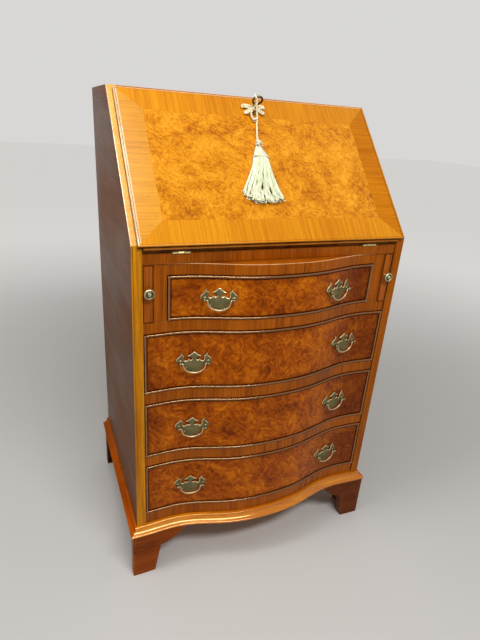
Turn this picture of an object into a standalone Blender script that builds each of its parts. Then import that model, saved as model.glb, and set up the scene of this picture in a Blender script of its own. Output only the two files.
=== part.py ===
"""A walnut writing bureau with a serpentine front, four drawers and a sloping fall.

+Z is up, the front faces -Y and X runs along the width. The origin is on the floor, at the middle of
the box round the bureau. Units are metres.
"""

import math

import bmesh
import bpy
from mathutils import Matrix, Vector

MM = 0.001

# Between any two pieces that touch, and past the faces that a cutter goes through.
GAP = 0.3 * MM
OVERRUN = 4 * MM
WELD = 0.02 * MM
# How far two shapes run into each other where one piece is made of both
OVERLAP = 2 * MM

# Carcase
WIDTH = 570 * MM
HEIGHT = 994 * MM
DEPTH = 422 * MM
TOP_DEPTH = 205 * MM
SLOPE_FOOT = 748 * MM
SIDE_THICKNESS = 19 * MM
TOP_THICKNESS = 18 * MM
BACK_THICKNESS = 8 * MM

# Serpentine front: how far its middle stands before the sides' front edges, and the waves it is made of.
BULGE = 29 * MM
WAVE_SHARES = (0.31, 0.64, 0.135, -0.085)
SERPENTINE_STEPS = 24

# Drawer openings and the rails above them, from the lowest up
BOTTOM_RAIL_HEIGHT = 27 * MM
OPENING_HEIGHTS = (126 * MM, 126 * MM, 126 * MM, 87 * MM)
RAIL_HEIGHTS = (23 * MM, 23 * MM, 22 * MM, 21 * MM)
RAIL_DEPTH = 60 * MM
RUNNER_WIDTH = 28 * MM
STILE_WIDTH = 24 * MM

# Lopers, the two sliding bars that carry the open fall
LOPER_WIDTH = 19.2 * MM
LOPER_SLACK = 0.5 * MM
LOPER_RECESS = 2.5 * MM
LOPER_LENGTH = 330 * MM
KNOB_RADIUS = 10 * MM
KNOB_HEIGHT = 15 * MM
KNOB_LIFT = 4.5 * MM
KNOB_SHARES = (
    (0.0, 1.0), (0.3, 0.97), (0.5, 0.86), (0.58, 0.7), (0.72, 0.78), (0.88, 0.78),
    (1.0, 0.66), (0.97, 0.52), (0.6, 0.34), (0.45, 0.2), (0.6, 0.06), (0.6, 0.0), (0.0, 0.0),
)
KNOB_STEPS = 16

# Base frame with its moulded edge, given from the top in to the inner edge
MOULDING_HEIGHT = 18.5 * MM
MOULDING_PROUD = 17 * MM
MOULDING_SIDE = 15 * MM
BASE_FRAME_WIDTH = 45 * MM
MOULDING_SHARES = (
    (0.3, 1.0), (0.4, 0.95), (0.4, 0.87), (0.33, 0.82), (0.42, 0.6), (0.6, 0.4),
    (0.85, 0.26), (0.93, 0.24), (1.0, 0.17), (1.0, 0.0),
)

# Bracket feet
FOOT_HEIGHT = 113 * MM
FOOT_SETBACK = 2.5 * MM
FOOT_THICKNESS = 18 * MM
FOOT_TOE = 49 * MM
FOOT_NECK = 62 * MM
FOOT_WING = 119 * MM
FOOT_CUSP_HEIGHT = 71 * MM
FOOT_SWEEP_SAG = 7 * MM
FOOT_SWEEP_STEPS = 6
SIDE_BRACKET_INSET = 2 * MM
BACK_FOOT_INSET = 23 * MM

# Fall, a board rebated between the sides with a lip that covers their sloping edges
FALL_BODY = 12 * MM
LIP_THICKNESS = 8 * MM
LIP_ROUNDING = 5.5 * MM
SIDE_REVEAL = 10.5 * MM
TOP_REVEAL = 9 * MM
FALL_SLACK = 0.8 * MM
LEATHER_MARGIN = 45 * MM
LEATHER_THICKNESS = 1 * MM
LEATHER_RECESS = 1.5 * MM

# Fall hinges
HINGE_INSET = 67.2 * MM
HINGE_LENGTH = 33 * MM
HINGE_LEAF = 22 * MM
HINGE_LEAF_THICKNESS = 2 * MM
KNUCKLE_RADIUS = 2.6 * MM

# Lock and key
LOCK_WIDTH = 56 * MM
LOCK_HEIGHT = 36 * MM
LOCK_DEPTH = 9 * MM
LOCK_CHAMBER_RADIUS = 9 * MM
LOCK_CHAMBER_DEPTH = 5 * MM
KEYHOLE_DROP = 12.2 * MM
KEYHOLE_RADIUS = 3.6 * MM
KEYHOLE_SLOT_WIDTH = 3.2 * MM
KEYHOLE_SLOT_LENGTH = 9.5 * MM
ESCUTCHEON_WIDTH = 13 * MM
ESCUTCHEON_HEIGHT = 24 * MM
ESCUTCHEON_THICKNESS = 1 * MM
KEY_SHANK_RADIUS = 2.6 * MM
KEY_REACH = 12.8 * MM
KEY_BIT_LENGTH = 4 * MM
KEY_BIT_REACH = 7.5 * MM
KEY_BIT_THICKNESS = 2 * MM
KEY_BOW_RADIUS = 9.7 * MM
KEY_BOW_WIRE = 1.8 * MM
KEY_BOW_SINK = 1 * MM

# Cord bow round the key's neck: half outline as shares of its half span and height
CORD_BOW_SPAN = 27 * MM
CORD_BOW_HEIGHT = 20 * MM
CORD_BOW_THICKNESS = 5 * MM
CORD_BOW_SHARES = (
    (0.0, 0.0), (0.2, 0.0), (0.35, 0.05), (0.75, 0.45), (1.0, 0.1), (0.98, -0.35),
    (0.72, -0.6), (0.6, -0.8), (0.3, -0.45), (0.2, -0.5), (0.0, -0.5),
)

# Tassel lying on the fall: along, middle and half width as shares of its length and width
TASSEL_LENGTH = 140 * MM
TASSEL_WIDTH = 87 * MM
TASSEL_THICKNESS = 12 * MM
TASSEL_X = -10.5 * MM
TASSEL_DROP = 82 * MM
TASSEL_SHARES = (
    (0.0, 0.0, 0.03), (0.02, 0.0, 0.08), (0.05, 0.0, 0.1), (0.08, 0.0, 0.07), (0.15, -0.03, 0.11),
    (0.21, -0.05, 0.14), (0.235, -0.03, 0.19), (0.27, -0.04, 0.18), (0.5, -0.09, 0.27),
    (0.8, -0.17, 0.45), (0.9, -0.15, 0.5), (0.96, -0.15, 0.36), (1.0, -0.2, 0.14),
)

# The cord's diameter, the place on the key's bow that it hangs from, and its route from the tassel up
# round the bow and back, in millimetres: across, up the fall and off the fall from the bow's middle.
CORD_DIAMETER = 4.2 * MM
CORD_SPACING = 2.6 * MM
CORD_HOLD = (-5.82, 0.0, 7.76)
CORD_ROUTE = (
    (-10.5, -80.0, -17.9), (-10.1, -75.0, -19.2), (-8.6, -68.0, -20.4), (-6.4, -58.0, -21.0),
    (-4.4, -48.0, -21.0), (-2.9, -39.0, -20.6), (-2.4, -33.0, -17.6), (-2.8, -27.5, -12.8),
    (-3.8, -21.5, -7.4), (-4.9, -15.5, -1.8), (-5.6, -9.5, 3.8), (-5.8, -5.3, 7.8),
    (-8.1, -3.7, 10.8), (-9.0, 0.0, 12.0), (-8.1, 3.7, 10.8), (-5.8, 5.3, 7.8),
    (-3.6, 3.7, 4.8), (-2.6, 0.0, 3.5), (-3.0, -4.2, 0.2), (-5.2, -8.6, -5.0),
    (-9.0, -12.6, -10.5), (-12.0, -17.5, -15.0), (-10.6, -23.5, -18.8), (-6.6, -29.0, -20.4),
)

# Drawers
DRAWER_SLACK = 1.2 * MM
BEAD_THICKNESS = 4.5 * MM
BEAD_PROUD = 3 * MM
FRONT_THICKNESS = 20 * MM
DRAWER_SIDE_THICKNESS = 10 * MM
DRAWER_SIDE_DROP = 10 * MM
DRAWER_BACK_DROP = 18 * MM
DRAWER_BOTTOM_THICKNESS = 6 * MM
DRAWER_BOTTOM_LIFT = 8 * MM
DRAWER_BACK_SPACE = 25 * MM
DRAWER_BACK_INSET = 5 * MM

# Batwing pulls: the plate's half outline as shares of its width and height, from the top middle
PULL_INSET_LONG = 97 * MM
PULL_INSET_SHORT = 93.8 * MM
PLATE_WIDTH = 69 * MM
PLATE_HEIGHT = 46 * MM
PLATE_THICKNESS = 1.6 * MM
PLATE_SHARES = (
    (0.0, 0.46), (0.05, 0.42), (0.16, 0.26), (0.2, 0.12), (0.25, 0.06), (0.3, 0.12), (0.32, 0.3),
    (0.37, 0.45), (0.43, 0.36), (0.49, 0.2), (0.5, 0.02), (0.45, -0.13), (0.36, -0.17),
    (0.31, -0.3), (0.2, -0.4), (0.08, -0.44), (0.0, -0.45),
)
POST_SPACING = 54 * MM
POST_DROP = 2 * MM
POST_RADIUS = 2.6 * MM
POST_REACH = 7 * MM
POST_BALL_RADIUS = 4.2 * MM
BAIL_RADIUS = 1.7 * MM
BAIL_SLACK = 0.35 * MM
BAIL_DROP = 19.5 * MM
BAIL_SHARES = ((1.0, 0.0), (0.84, 0.0), (0.79, 0.07), (0.77, 0.2))
BAIL_STEPS = 7

# Pigeonhole unit in the writing space
PIGEONHOLE_SETBACK = 22 * MM
PIGEONHOLE_WALL = 7 * MM
PIGEONHOLE_SHELF = 70 * MM
PIGEONHOLES_BELOW = 2
PIGEONHOLES_ABOVE = 4

# Places that follow from the sizes above
half_width = WIDTH / 2
inner_half = half_width - SIDE_THICKNESS
fit_half = inner_half - GAP
reach = BULGE + MOULDING_PROUD
front_y = -(DEPTH - reach) / 2
back_y = front_y + DEPTH
inner_back_y = back_y - BACK_THICKNESS - GAP
base_z = FOOT_HEIGHT + MOULDING_HEIGHT
loper_channel = LOPER_WIDTH + 2 * LOPER_SLACK
stile_outer = inner_half - loper_channel
stile_inner = stile_outer - STILE_WIDTH
openings = []
rails = []
level = base_z + BOTTOM_RAIL_HEIGHT
for opening_height, rail_height in zip(OPENING_HEIGHTS, RAIL_HEIGHTS):
    openings.append((level, level + opening_height))
    level += opening_height
    rails.append((level, level + rail_height))
    level += rail_height
fall_thickness = FALL_BODY + LIP_THICKNESS
writing_under = level + GAP
writing_z = writing_under + fall_thickness
top_under = HEIGHT - TOP_THICKNESS

# Frames on the hinge line. The fall's has Y up the slope and Z off it, the inner one is the same seen
# from the writing space, and the board's has Y back along the writing board.
slope = math.atan2(HEIGHT - SLOPE_FOOT, DEPTH - TOP_DEPTH)
hinge_y = front_y + (FALL_BODY + math.cos(slope) * (writing_z - SLOPE_FOOT)) / math.sin(slope)
fall_frame = Matrix.Translation((0, hinge_y, writing_z)) @ Matrix.Rotation(slope, 4, "X")
inner_frame = fall_frame @ Matrix.Rotation(math.pi, 4, "Y")
board_frame = Matrix.Translation((0, hinge_y, writing_z))
foot_up = (SLOPE_FOOT - writing_z) * math.sin(slope) - (hinge_y - front_y) * math.cos(slope)
body_up = foot_up + (top_under - SLOPE_FOOT) / math.sin(slope) - FALL_SLACK
lip_up = foot_up + (HEIGHT - SLOPE_FOOT) / math.sin(slope) - TOP_REVEAL
lip_start = hinge_y - front_y + 3 * GAP
lip_half = half_width - SIDE_REVEAL
body_half = inner_half - FALL_SLACK
hinge_x = body_half - HINGE_INSET
keyhole_up = body_up - KEYHOLE_DROP
bow_off = fall_thickness + KEY_REACH + KEY_BOW_RADIUS + KEY_BOW_WIRE

WORLD = Matrix.Identity(4)
# Outlines drawn as seen from the left, in Y and Z, and from the front, in X and Z
SIDE_VIEW = Matrix(((0, 0, 1, 0), (1, 0, 0, 0), (0, 1, 0, 0), (0, 0, 0, 1)))
FRONT_VIEW = Matrix(((1, 0, 0, 0), (0, 0, -1, 0), (0, 1, 0, 0), (0, 0, 0, 1)))
# A turned shape whose axis points forward
FORWARD = Matrix.Rotation(math.pi / 2, 4, "X")
# A cylinder along X
ALONG_X = Matrix.Rotation(math.pi / 2, 4, "Y")

WALNUT = ((0.33, 0.14, 0.03), 0.0, 0.3)
DARK_WALNUT = ((0.2, 0.08, 0.03), 0.0, 0.35)
BURR = ((0.5, 0.2, 0.03), 0.0, 0.25)
DRAWER_LINING = ((0.45, 0.3, 0.16), 0.0, 0.6)
BRASS = ((0.36, 0.3, 0.14), 1.0, 0.35)
BRONZE = ((0.12, 0.09, 0.05), 1.0, 0.45)
LEATHER = ((0.03, 0.09, 0.05), 0.0, 0.5)
SILK = ((0.8, 0.8, 0.6), 0.0, 0.8)

for stale in list(bpy.data.objects):
    bpy.data.objects.remove(stale)
bureau = bpy.data.collections.new("writing_bureau")
cutters = bpy.data.collections.new("cutters")
bpy.context.scene.collection.children.link(bureau)
bpy.context.scene.collection.children.link(cutters)


# Building blocks

def finish(obj, look):
    """Gives an object a Principled material of its own."""
    colour, metallic, roughness = look
    material = bpy.data.materials.new(obj.name)
    material.use_nodes = True
    shader = material.node_tree.nodes["Principled BSDF"]
    shader.inputs["Base Color"].default_value = (*colour, 1)
    shader.inputs["Metallic"].default_value = metallic
    shader.inputs["Roughness"].default_value = roughness
    obj.data.materials.clear()
    obj.data.materials.append(material)
    return obj


def from_shape(name, shape, frame=WORLD):
    """Turns a bmesh into an object placed by a frame."""
    mesh = bpy.data.meshes.new(name)
    shape.to_mesh(mesh)
    shape.free()
    obj = bpy.data.objects.new(name, mesh)
    bureau.objects.link(obj)
    obj.matrix_world = frame
    return obj


def from_curve(name, curve, frame=WORLD):
    """Makes a curve object's mesh, with its caps welded on."""
    guide = bpy.data.objects.new(name, curve)
    bureau.objects.link(guide)
    bpy.context.view_layer.update()
    depsgraph = bpy.context.evaluated_depsgraph_get()
    mesh = bpy.data.meshes.new_from_object(guide.evaluated_get(depsgraph))
    bpy.data.objects.remove(guide)
    shape = bmesh.new()
    shape.from_mesh(mesh)
    bpy.data.meshes.remove(mesh)
    bmesh.ops.remove_doubles(shape, verts=shape.verts, dist=WELD)
    bmesh.ops.recalc_face_normals(shape, faces=shape.faces)
    return from_shape(name, shape, frame)


def box(name, low, high, frame=WORLD):
    """A box between two corners, given in a frame."""
    size = [b - a for a, b in zip(low, high)]
    centre = [(a + b) / 2 for a, b in zip(low, high)]
    shape = bmesh.new()
    bmesh.ops.create_cube(shape, size=1)
    bmesh.ops.scale(shape, vec=size, verts=shape.verts)
    return from_shape(name, shape, frame @ Matrix.Translation(centre))


def outline(name, points, low, high, frame=WORLD):
    """A flat outline in a frame's X and Y, extruded along its Z from low to high."""
    curve = bpy.data.curves.new(name, "CURVE")
    curve.dimensions = "2D"
    curve.fill_mode = "BOTH"
    curve.extrude = (high - low) / 2
    spline = curve.splines.new("POLY")
    spline.points.add(len(points) - 1)
    for spline_point, (x, y) in zip(spline.points, points):
        spline_point.co = (x, y, 0, 1)
    spline.use_cyclic_u = True
    return from_curve(name, curve, frame @ Matrix.Translation((0, 0, (low + high) / 2)))


def tube(name, points, radius, frame=WORLD):
    """A round rod along points."""
    curve = bpy.data.curves.new(name, "CURVE")
    curve.dimensions = "3D"
    curve.bevel_depth = radius
    curve.bevel_resolution = 2
    curve.use_fill_caps = True
    spline = curve.splines.new("POLY")
    spline.points.add(len(points) - 1)
    for spline_point, point in zip(spline.points, points):
        spline_point.co = (*point, 1)
    return from_curve(name, curve, frame)


def cylinder(name, radius, low, high, frame=WORLD, segments=16):
    """A cylinder along a frame's Z."""
    shape = bmesh.new()
    bmesh.ops.create_cone(
        shape, cap_ends=True, segments=segments, radius1=radius, radius2=radius, depth=high - low)
    return from_shape(name, shape, frame @ Matrix.Translation((0, 0, (low + high) / 2)))


def combine(obj, tool, operation):
    """Joins or cuts an object with another, which becomes a hidden cutter."""
    modifier = obj.modifiers.new(tool.name, "BOOLEAN")
    modifier.operation = operation
    modifier.object = tool
    tool.hide_render = True
    tool.display_type = "WIRE"
    bureau.objects.unlink(tool)
    cutters.objects.link(tool)
    return obj


def cut(obj, tool):
    return combine(obj, tool, "DIFFERENCE")


def join(obj, tool):
    return combine(obj, tool, "UNION")


def pivot(name, frame, parent=None):
    """An empty on a joint's axis, which carries a moving body."""
    empty = bpy.data.objects.new(name, None)
    bureau.objects.link(empty)
    empty.matrix_world = frame
    if parent:
        hang(empty, parent)
    return empty


def hang(obj, parent):
    """Parents an object and leaves it where it is."""
    bpy.context.view_layer.update()
    obj.parent = parent
    obj.matrix_parent_inverse = parent.matrix_world.inverted()


def serpentine(x):
    """How far the curved front stands before the sides' front edges at x."""
    share = min(abs(x) / half_width, 1)
    return BULGE * sum(wave * math.cos(math.pi * turns * share) for turns, wave in enumerate(WAVE_SHARES))


def front_line(start, end, behind=0.0):
    """Points of the curved front in plan from one x to another, set back by a distance."""
    steps = max(2, round(SERPENTINE_STEPS * abs(end - start) / WIDTH))
    places = [start + (end - start) * step / steps for step in range(steps + 1)]
    return [(x, front_y - serpentine(x) + behind) for x in places]


def shelf(name, half, back, low, high):
    """A board with the curved front edge and a straight back."""
    return outline(name, front_line(-half, half) + [(half, back), (-half, back)], low, high)


def strip(name, start, end, front, back, low, high):
    """A board of even thickness bent to the curved front."""
    return outline(name, front_line(start, end, front) + front_line(end, start, back), low, high)


# Carcase

def build_sides():
    profile = [
        (front_y, base_z + GAP), (back_y, base_z + GAP), (back_y, HEIGHT),
        (back_y - TOP_DEPTH, HEIGHT), (front_y, SLOPE_FOOT),
    ]
    finish(outline("left_side", profile, -half_width, -inner_half, SIDE_VIEW), DARK_WALNUT)
    finish(outline("right_side", profile, inner_half, half_width, SIDE_VIEW), DARK_WALNUT)


def build_top():
    under_y = front_y + (top_under - SLOPE_FOOT) / math.tan(slope)
    profile = [(back_y - TOP_DEPTH, HEIGHT), (back_y, HEIGHT), (back_y, top_under), (under_y, top_under)]
    finish(outline("top_board", profile, -fit_half, fit_half, SIDE_VIEW), WALNUT)


def build_back():
    low = (-fit_half, back_y - BACK_THICKNESS, base_z + GAP)
    finish(box("back_panel", low, (fit_half, back_y, top_under - GAP)), DRAWER_LINING)


def build_shelves():
    """The writing board with its hinge seats, the bottom board and the frames between the drawers."""
    board = box(
        "writing_board", (-fit_half, hinge_y + GAP, writing_under), (fit_half, inner_back_y, writing_z))
    for side in (-1, 1):
        cut(board, hinge_seat(side, board_frame))
    finish(board, WALNUT)
    low = base_z + GAP
    finish(shelf("bottom_board", fit_half, inner_back_y, low, openings[0][0]), WALNUT)
    for place, (rail_low, rail_high) in enumerate(rails[:-1]):
        under_stiles = place == len(rails) - 2
        opening = (stile_inner if under_stiles else inner_half) - RUNNER_WIDTH
        name = "drawer_frame_%d" % (len(rails) - 1 - place)
        finish(rail_frame(name, fit_half, opening, rail_low, rail_high), WALNUT)


def rail_frame(name, half, opening, low, high):
    """A curved rail with a runner behind each end, in one U-shaped frame."""
    rail_back = front_y + RAIL_DEPTH
    points = front_line(-half, half) + [
        (half, inner_back_y), (opening, inner_back_y), (opening, rail_back),
        (-opening, rail_back), (-opening, inner_back_y), (-half, inner_back_y)]
    return outline(name, points, low, high)


def build_loper_housing():
    """The top rail and, on each side of the top drawer, the stile with the partition behind it."""
    low = rails[-2][1] + GAP
    housing = rail_frame("loper_housing", stile_outer, stile_inner, low, writing_under - GAP)
    window_back = front_y + RAIL_DEPTH + OVERRUN
    cut(housing, box(
        "top_drawer_window", (-stile_inner, front_y - reach, low - OVERRUN),
        (stile_inner, window_back, rails[-1][0])))
    finish(housing, WALNUT)


def moulding_edge():
    """The moulded edge in section, outward and up from the bottom, with runs past its two ends."""
    edge = [(MOULDING_PROUD * out, MOULDING_HEIGHT * up) for out, up in MOULDING_SHARES]
    return [(edge[0][0], MOULDING_HEIGHT + OVERRUN)] + edge + [(edge[-1][0], -OVERRUN)]


def moulding_waste(line_y, end_x):
    """What is planed off the front's edge, swept along the curved front and straight on past both ends."""
    section = bpy.data.curves.new("moulding_section", "CURVE")
    section.dimensions = "2D"
    spline = section.splines.new("POLY")
    points = moulding_edge() + [(2 * reach, -OVERRUN), (2 * reach, MOULDING_HEIGHT + OVERRUN)]
    spline.points.add(len(points) - 1)
    for spline_point, (out, up) in zip(spline.points, points):
        spline_point.co = (out, up, 0, 1)
    spline.use_cyclic_u = True
    guide = bpy.data.objects.new("moulding_section", section)
    cutters.objects.link(guide)
    path = bpy.data.curves.new("moulding_waste", "CURVE")
    path.dimensions = "3D"
    path.bevel_mode = "OBJECT"
    path.bevel_object = guide
    path.use_fill_caps = True
    route = [(-end_x, line_y)] + front_line(-half_width, half_width) + [(end_x, line_y)]
    spline = path.splines.new("POLY")
    spline.points.add(len(route) - 1)
    for spline_point, (x, y) in zip(spline.points, route):
        spline_point.co = (x, y, FOOT_HEIGHT, 1)
    waste = from_curve("moulding_waste", path)
    bpy.data.objects.remove(guide)
    return waste


def build_base():
    """The base frame: a slab with its front and side edges moulded, and an open middle."""
    line_x = half_width + MOULDING_SIDE - MOULDING_PROUD
    line_y = front_y - serpentine(half_width)
    past_x = half_width + BASE_FRAME_WIDTH
    base = box(
        "base_moulding", (-past_x, front_y - reach - OVERRUN, FOOT_HEIGHT), (past_x, back_y, base_z))
    cut(base, moulding_waste(line_y, past_x + OVERRUN))
    right = [(line_x + out, FOOT_HEIGHT + up) for out, up in moulding_edge()]
    left = [(-x, z) for x, z in reversed(right)]
    sides = outline("side_mouldings", right + left, -back_y - OVERRUN, 2 * reach - front_y, FRONT_VIEW)
    combine(base, sides, "INTERSECT")
    opening = line_x - BASE_FRAME_WIDTH
    opening_front = front_y - serpentine(0) + 3 * BASE_FRAME_WIDTH / 2
    cut(base, box(
        "base_opening", (-opening, opening_front, FOOT_HEIGHT - OVERRUN),
        (opening, back_y - BASE_FRAME_WIDTH, base_z + OVERRUN)))
    finish(base, WALNUT)


def bowed(start, end, sag, steps):
    """Points from start to end along a shallow bow."""
    start = Vector(start)
    end = Vector(end)
    across = (end - start).orthogonal().normalized()
    points = []
    for step in range(steps + 1):
        share = step / steps
        points.append(tuple(start.lerp(end, share) + across * sag * 4 * share * (1 - share)))
    return points


def bracket_gap(name, start, direction, low, high, frame):
    """The space inside a bracket foot, measured inward from its outer end."""
    sweep = bowed((FOOT_NECK, FOOT_CUSP_HEIGHT), (FOOT_WING, FOOT_HEIGHT), -FOOT_SWEEP_SAG, FOOT_SWEEP_STEPS)
    points = [(WIDTH, -OVERRUN), (FOOT_TOE, -OVERRUN), (FOOT_TOE, 0)] + sweep
    points += [(FOOT_WING, FOOT_HEIGHT + OVERRUN), (WIDTH, FOOT_HEIGHT + OVERRUN)]
    return outline(name, [(start + direction * along, up) for along, up in points], low, high, frame)


def side_bracket(side, start, direction):
    """A bracket below a side, from a y along a direction, set in behind the moulding."""
    outer = half_width - SIDE_BRACKET_INSET
    near, far = sorted((side * outer, side * (outer - FOOT_THICKNESS)))
    front, back = sorted((start, start + direction * FOOT_WING))
    piece = box("side_bracket", (near, front, 0), (far, back, FOOT_HEIGHT - GAP))
    space = bracket_gap("side_bracket_gap", start, direction, near - OVERRUN, far + OVERRUN, SIDE_VIEW)
    return cut(piece, space)


def build_feet():
    """Each foot is two brackets joined at the corner."""
    outer = half_width + MOULDING_SIDE - FOOT_SETBACK
    face = FOOT_SETBACK - MOULDING_PROUD
    top = FOOT_HEIGHT - GAP
    through = (-back_y, reach - front_y, FRONT_VIEW)
    for side, side_name in ((-1, "left"), (1, "right")):
        start, end = sorted((side * outer, side * (outer - FOOT_WING)))
        front = strip("front_%s_foot" % side_name, start, end, face, face + FOOT_THICKNESS, 0, top)
        cut(front, bracket_gap("front_bracket_gap", side * outer, -side, *through))
        behind = front_y - serpentine(half_width) + face + FOOT_THICKNESS - OVERLAP
        finish(join(front, side_bracket(side, behind, 1)), DARK_WALNUT)
        end_y = back_y - BACK_FOOT_INSET
        back = box("back_%s_foot" % side_name, (start, end_y - FOOT_THICKNESS, 0), (end, end_y, top))
        cut(back, bracket_gap("back_bracket_gap", side * outer, -side, *through))
        finish(join(back, side_bracket(side, end_y - FOOT_THICKNESS + OVERLAP, -1)), DARK_WALNUT)


# Lopers

def build_lopers():
    low = rails[-2][1] + GAP
    high = writing_under - GAP
    front = front_y + LOPER_RECESS
    for side, name in ((-1, "left_loper"), (1, "right_loper")):
        middle = side * (inner_half - loper_channel / 2)
        slide = pivot(name + "_slide", Matrix.Translation((middle, front, (low + high) / 2)))
        bar = box(
            name, (middle - LOPER_WIDTH / 2, front, low),
            (middle + LOPER_WIDTH / 2, front + LOPER_LENGTH, high))
        hang(finish(bar, WALNUT), slide)
        knob_up = (low + high) / 2 + KNOB_LIFT
        knob = turned(name + "_knob", Matrix.Translation((middle, front - GAP, knob_up)) @ FORWARD)
        hang(finish(knob, BRASS), slide)


def turned(name, frame):
    """A round knob, turned about a frame's Z, with its foot at the frame."""
    shape = bmesh.new()
    profile = [shape.verts.new((KNOB_RADIUS * out, 0, KNOB_HEIGHT * up)) for out, up in KNOB_SHARES]
    for first, second in zip(profile, profile[1:]):
        shape.edges.new((first, second))
    knob = from_shape(name, shape, frame)
    screw = knob.modifiers.new("turning", "SCREW")
    screw.steps = KNOB_STEPS
    screw.render_steps = KNOB_STEPS
    screw.use_merge_vertices = True
    screw.merge_threshold = WELD
    knob.data.shade_smooth()
    return knob


# Fall and what it carries

def hinge_seat(side, frame):
    """The recess for one leaf and its knuckles, in a frame whose Z points off the surface."""
    low = side * hinge_x - HINGE_LENGTH / 2 - GAP
    high = side * hinge_x + HINGE_LENGTH / 2 + GAP
    room = KNUCKLE_RADIUS + 2 * GAP
    seat = box(
        "hinge_seat", (low, -room, -HINGE_LEAF_THICKNESS - GAP), (high, HINGE_LEAF + GAP, OVERRUN), frame)
    return join(seat, box("knuckle_room", (low, -room, -room), (high, room, OVERRUN / 2), frame))


def hinge_leaf(name, side, frame, knuckles):
    """One leaf, flush with a surface, and its knuckles on the hinge line."""
    length = HINGE_LENGTH / 3
    start = side * hinge_x - HINGE_LENGTH / 2
    clear = KNUCKLE_RADIUS + 2 * GAP
    leaf = box(name, (start, clear, -HINGE_LEAF_THICKNESS), (start + HINGE_LENGTH, HINGE_LEAF, 0), frame)
    for place in knuckles:
        low = start + place * length + GAP
        high = start + (place + 1) * length - GAP
        join(leaf, box("knuckle_arm", (low, 0, -HINGE_LEAF_THICKNESS), (high, clear + OVERLAP, 0), frame))
        half = (high - low) / 2
        axle = frame @ Matrix.Translation(((low + high) / 2, 0, 0)) @ ALONG_X
        join(leaf, cylinder("knuckle", KNUCKLE_RADIUS, -half, half, axle, 12))
    return finish(leaf, BRASS)


def keyhole(name, low, high):
    """A keyhole-shaped cutter: a round eye with a slot below it."""
    half = KEYHOLE_SLOT_WIDTH / 2
    open_angle = math.asin(half / KEYHOLE_RADIUS)
    points = [(half, keyhole_up - KEYHOLE_SLOT_LENGTH)]
    steps = 12
    for step in range(steps + 1):
        angle = -math.pi / 2 + open_angle + (2 * math.pi - 2 * open_angle) * step / steps
        points.append((KEYHOLE_RADIUS * math.cos(angle), keyhole_up + KEYHOLE_RADIUS * math.sin(angle)))
    points.append((-half, keyhole_up - KEYHOLE_SLOT_LENGTH))
    return outline(name, points, low, high, fall_frame)


def build_fall():
    turn = pivot("fall_pivot", fall_frame)
    board = box("fall_board", (-body_half, 0, 0), (body_half, body_up, fall_thickness), fall_frame)
    lip = box("lip", (-lip_half, lip_start, FALL_BODY + GAP), (lip_half, lip_up, fall_thickness), fall_frame)
    shape = bmesh.new()
    shape.from_mesh(lip.data)
    top = max(vert.co.z for vert in shape.verts)
    rim = [edge for edge in shape.edges if all(vert.co.z > top - WELD for vert in edge.verts)]
    bmesh.ops.bevel(shape, geom=rim, offset=LIP_ROUNDING, segments=3, profile=0.5, affect="EDGES")
    shape.to_mesh(lip.data)
    shape.free()
    join(board, lip)
    leather_low = (-body_half + LEATHER_MARGIN, LEATHER_MARGIN)
    leather_high = (body_half - LEATHER_MARGIN, body_up - LEATHER_MARGIN)
    cut(board, box(
        "leather_recess", (leather_low[0] - GAP, leather_low[1] - GAP, -OVERRUN),
        (leather_high[0] + GAP, leather_high[1] + GAP, LEATHER_RECESS), fall_frame))
    cut(board, box(
        "lock_mortise", (-LOCK_WIDTH / 2 - GAP, body_up - LOCK_HEIGHT - GAP, -OVERRUN),
        (LOCK_WIDTH / 2 + GAP, body_up + OVERRUN, LOCK_DEPTH + GAP), fall_frame))
    cut(board, keyhole("fall_keyhole", LOCK_DEPTH - OVERRUN, fall_thickness + OVERRUN))
    for side in (-1, 1):
        cut(board, hinge_seat(side, inner_frame))
    hang(finish(board, BURR), turn)
    leather_off = LEATHER_RECESS - GAP
    leather = box(
        "fall_leather", (*leather_low, leather_off - LEATHER_THICKNESS), (*leather_high, leather_off),
        fall_frame)
    hang(finish(leather, LEATHER), turn)
    lock = box(
        "fall_lock", (-LOCK_WIDTH / 2, body_up - LOCK_HEIGHT, 0), (LOCK_WIDTH / 2, body_up, LOCK_DEPTH),
        fall_frame)
    chamber = fall_frame @ Matrix.Translation((0, keyhole_up, 0))
    chamber_low = LOCK_DEPTH - LOCK_CHAMBER_DEPTH
    cut(lock, cylinder("lock_chamber", LOCK_CHAMBER_RADIUS, chamber_low, LOCK_DEPTH + OVERRUN, chamber, 20))
    hang(finish(lock, BRASS), turn)
    steps = 20
    rim = [
        (ESCUTCHEON_WIDTH / 2 * math.cos(2 * math.pi * step / steps),
         keyhole_up - KEYHOLE_SLOT_LENGTH / 3 + ESCUTCHEON_HEIGHT / 2 * math.sin(2 * math.pi * step / steps))
        for step in range(steps)]
    seat = fall_thickness + GAP
    plate = outline("key_escutcheon", rim, seat, seat + ESCUTCHEON_THICKNESS, fall_frame)
    cut(plate, keyhole("escutcheon_keyhole", seat - OVERRUN, seat + OVERRUN))
    hang(finish(plate, BRONZE), turn)
    for side, side_name in ((-1, "left"), (1, "right")):
        hang(hinge_leaf("fall_hinge_" + side_name, -side, inner_frame, (1,)), turn)
        hinge_leaf("board_hinge_" + side_name, side, board_frame, (0, 2))
    return turn


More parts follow.
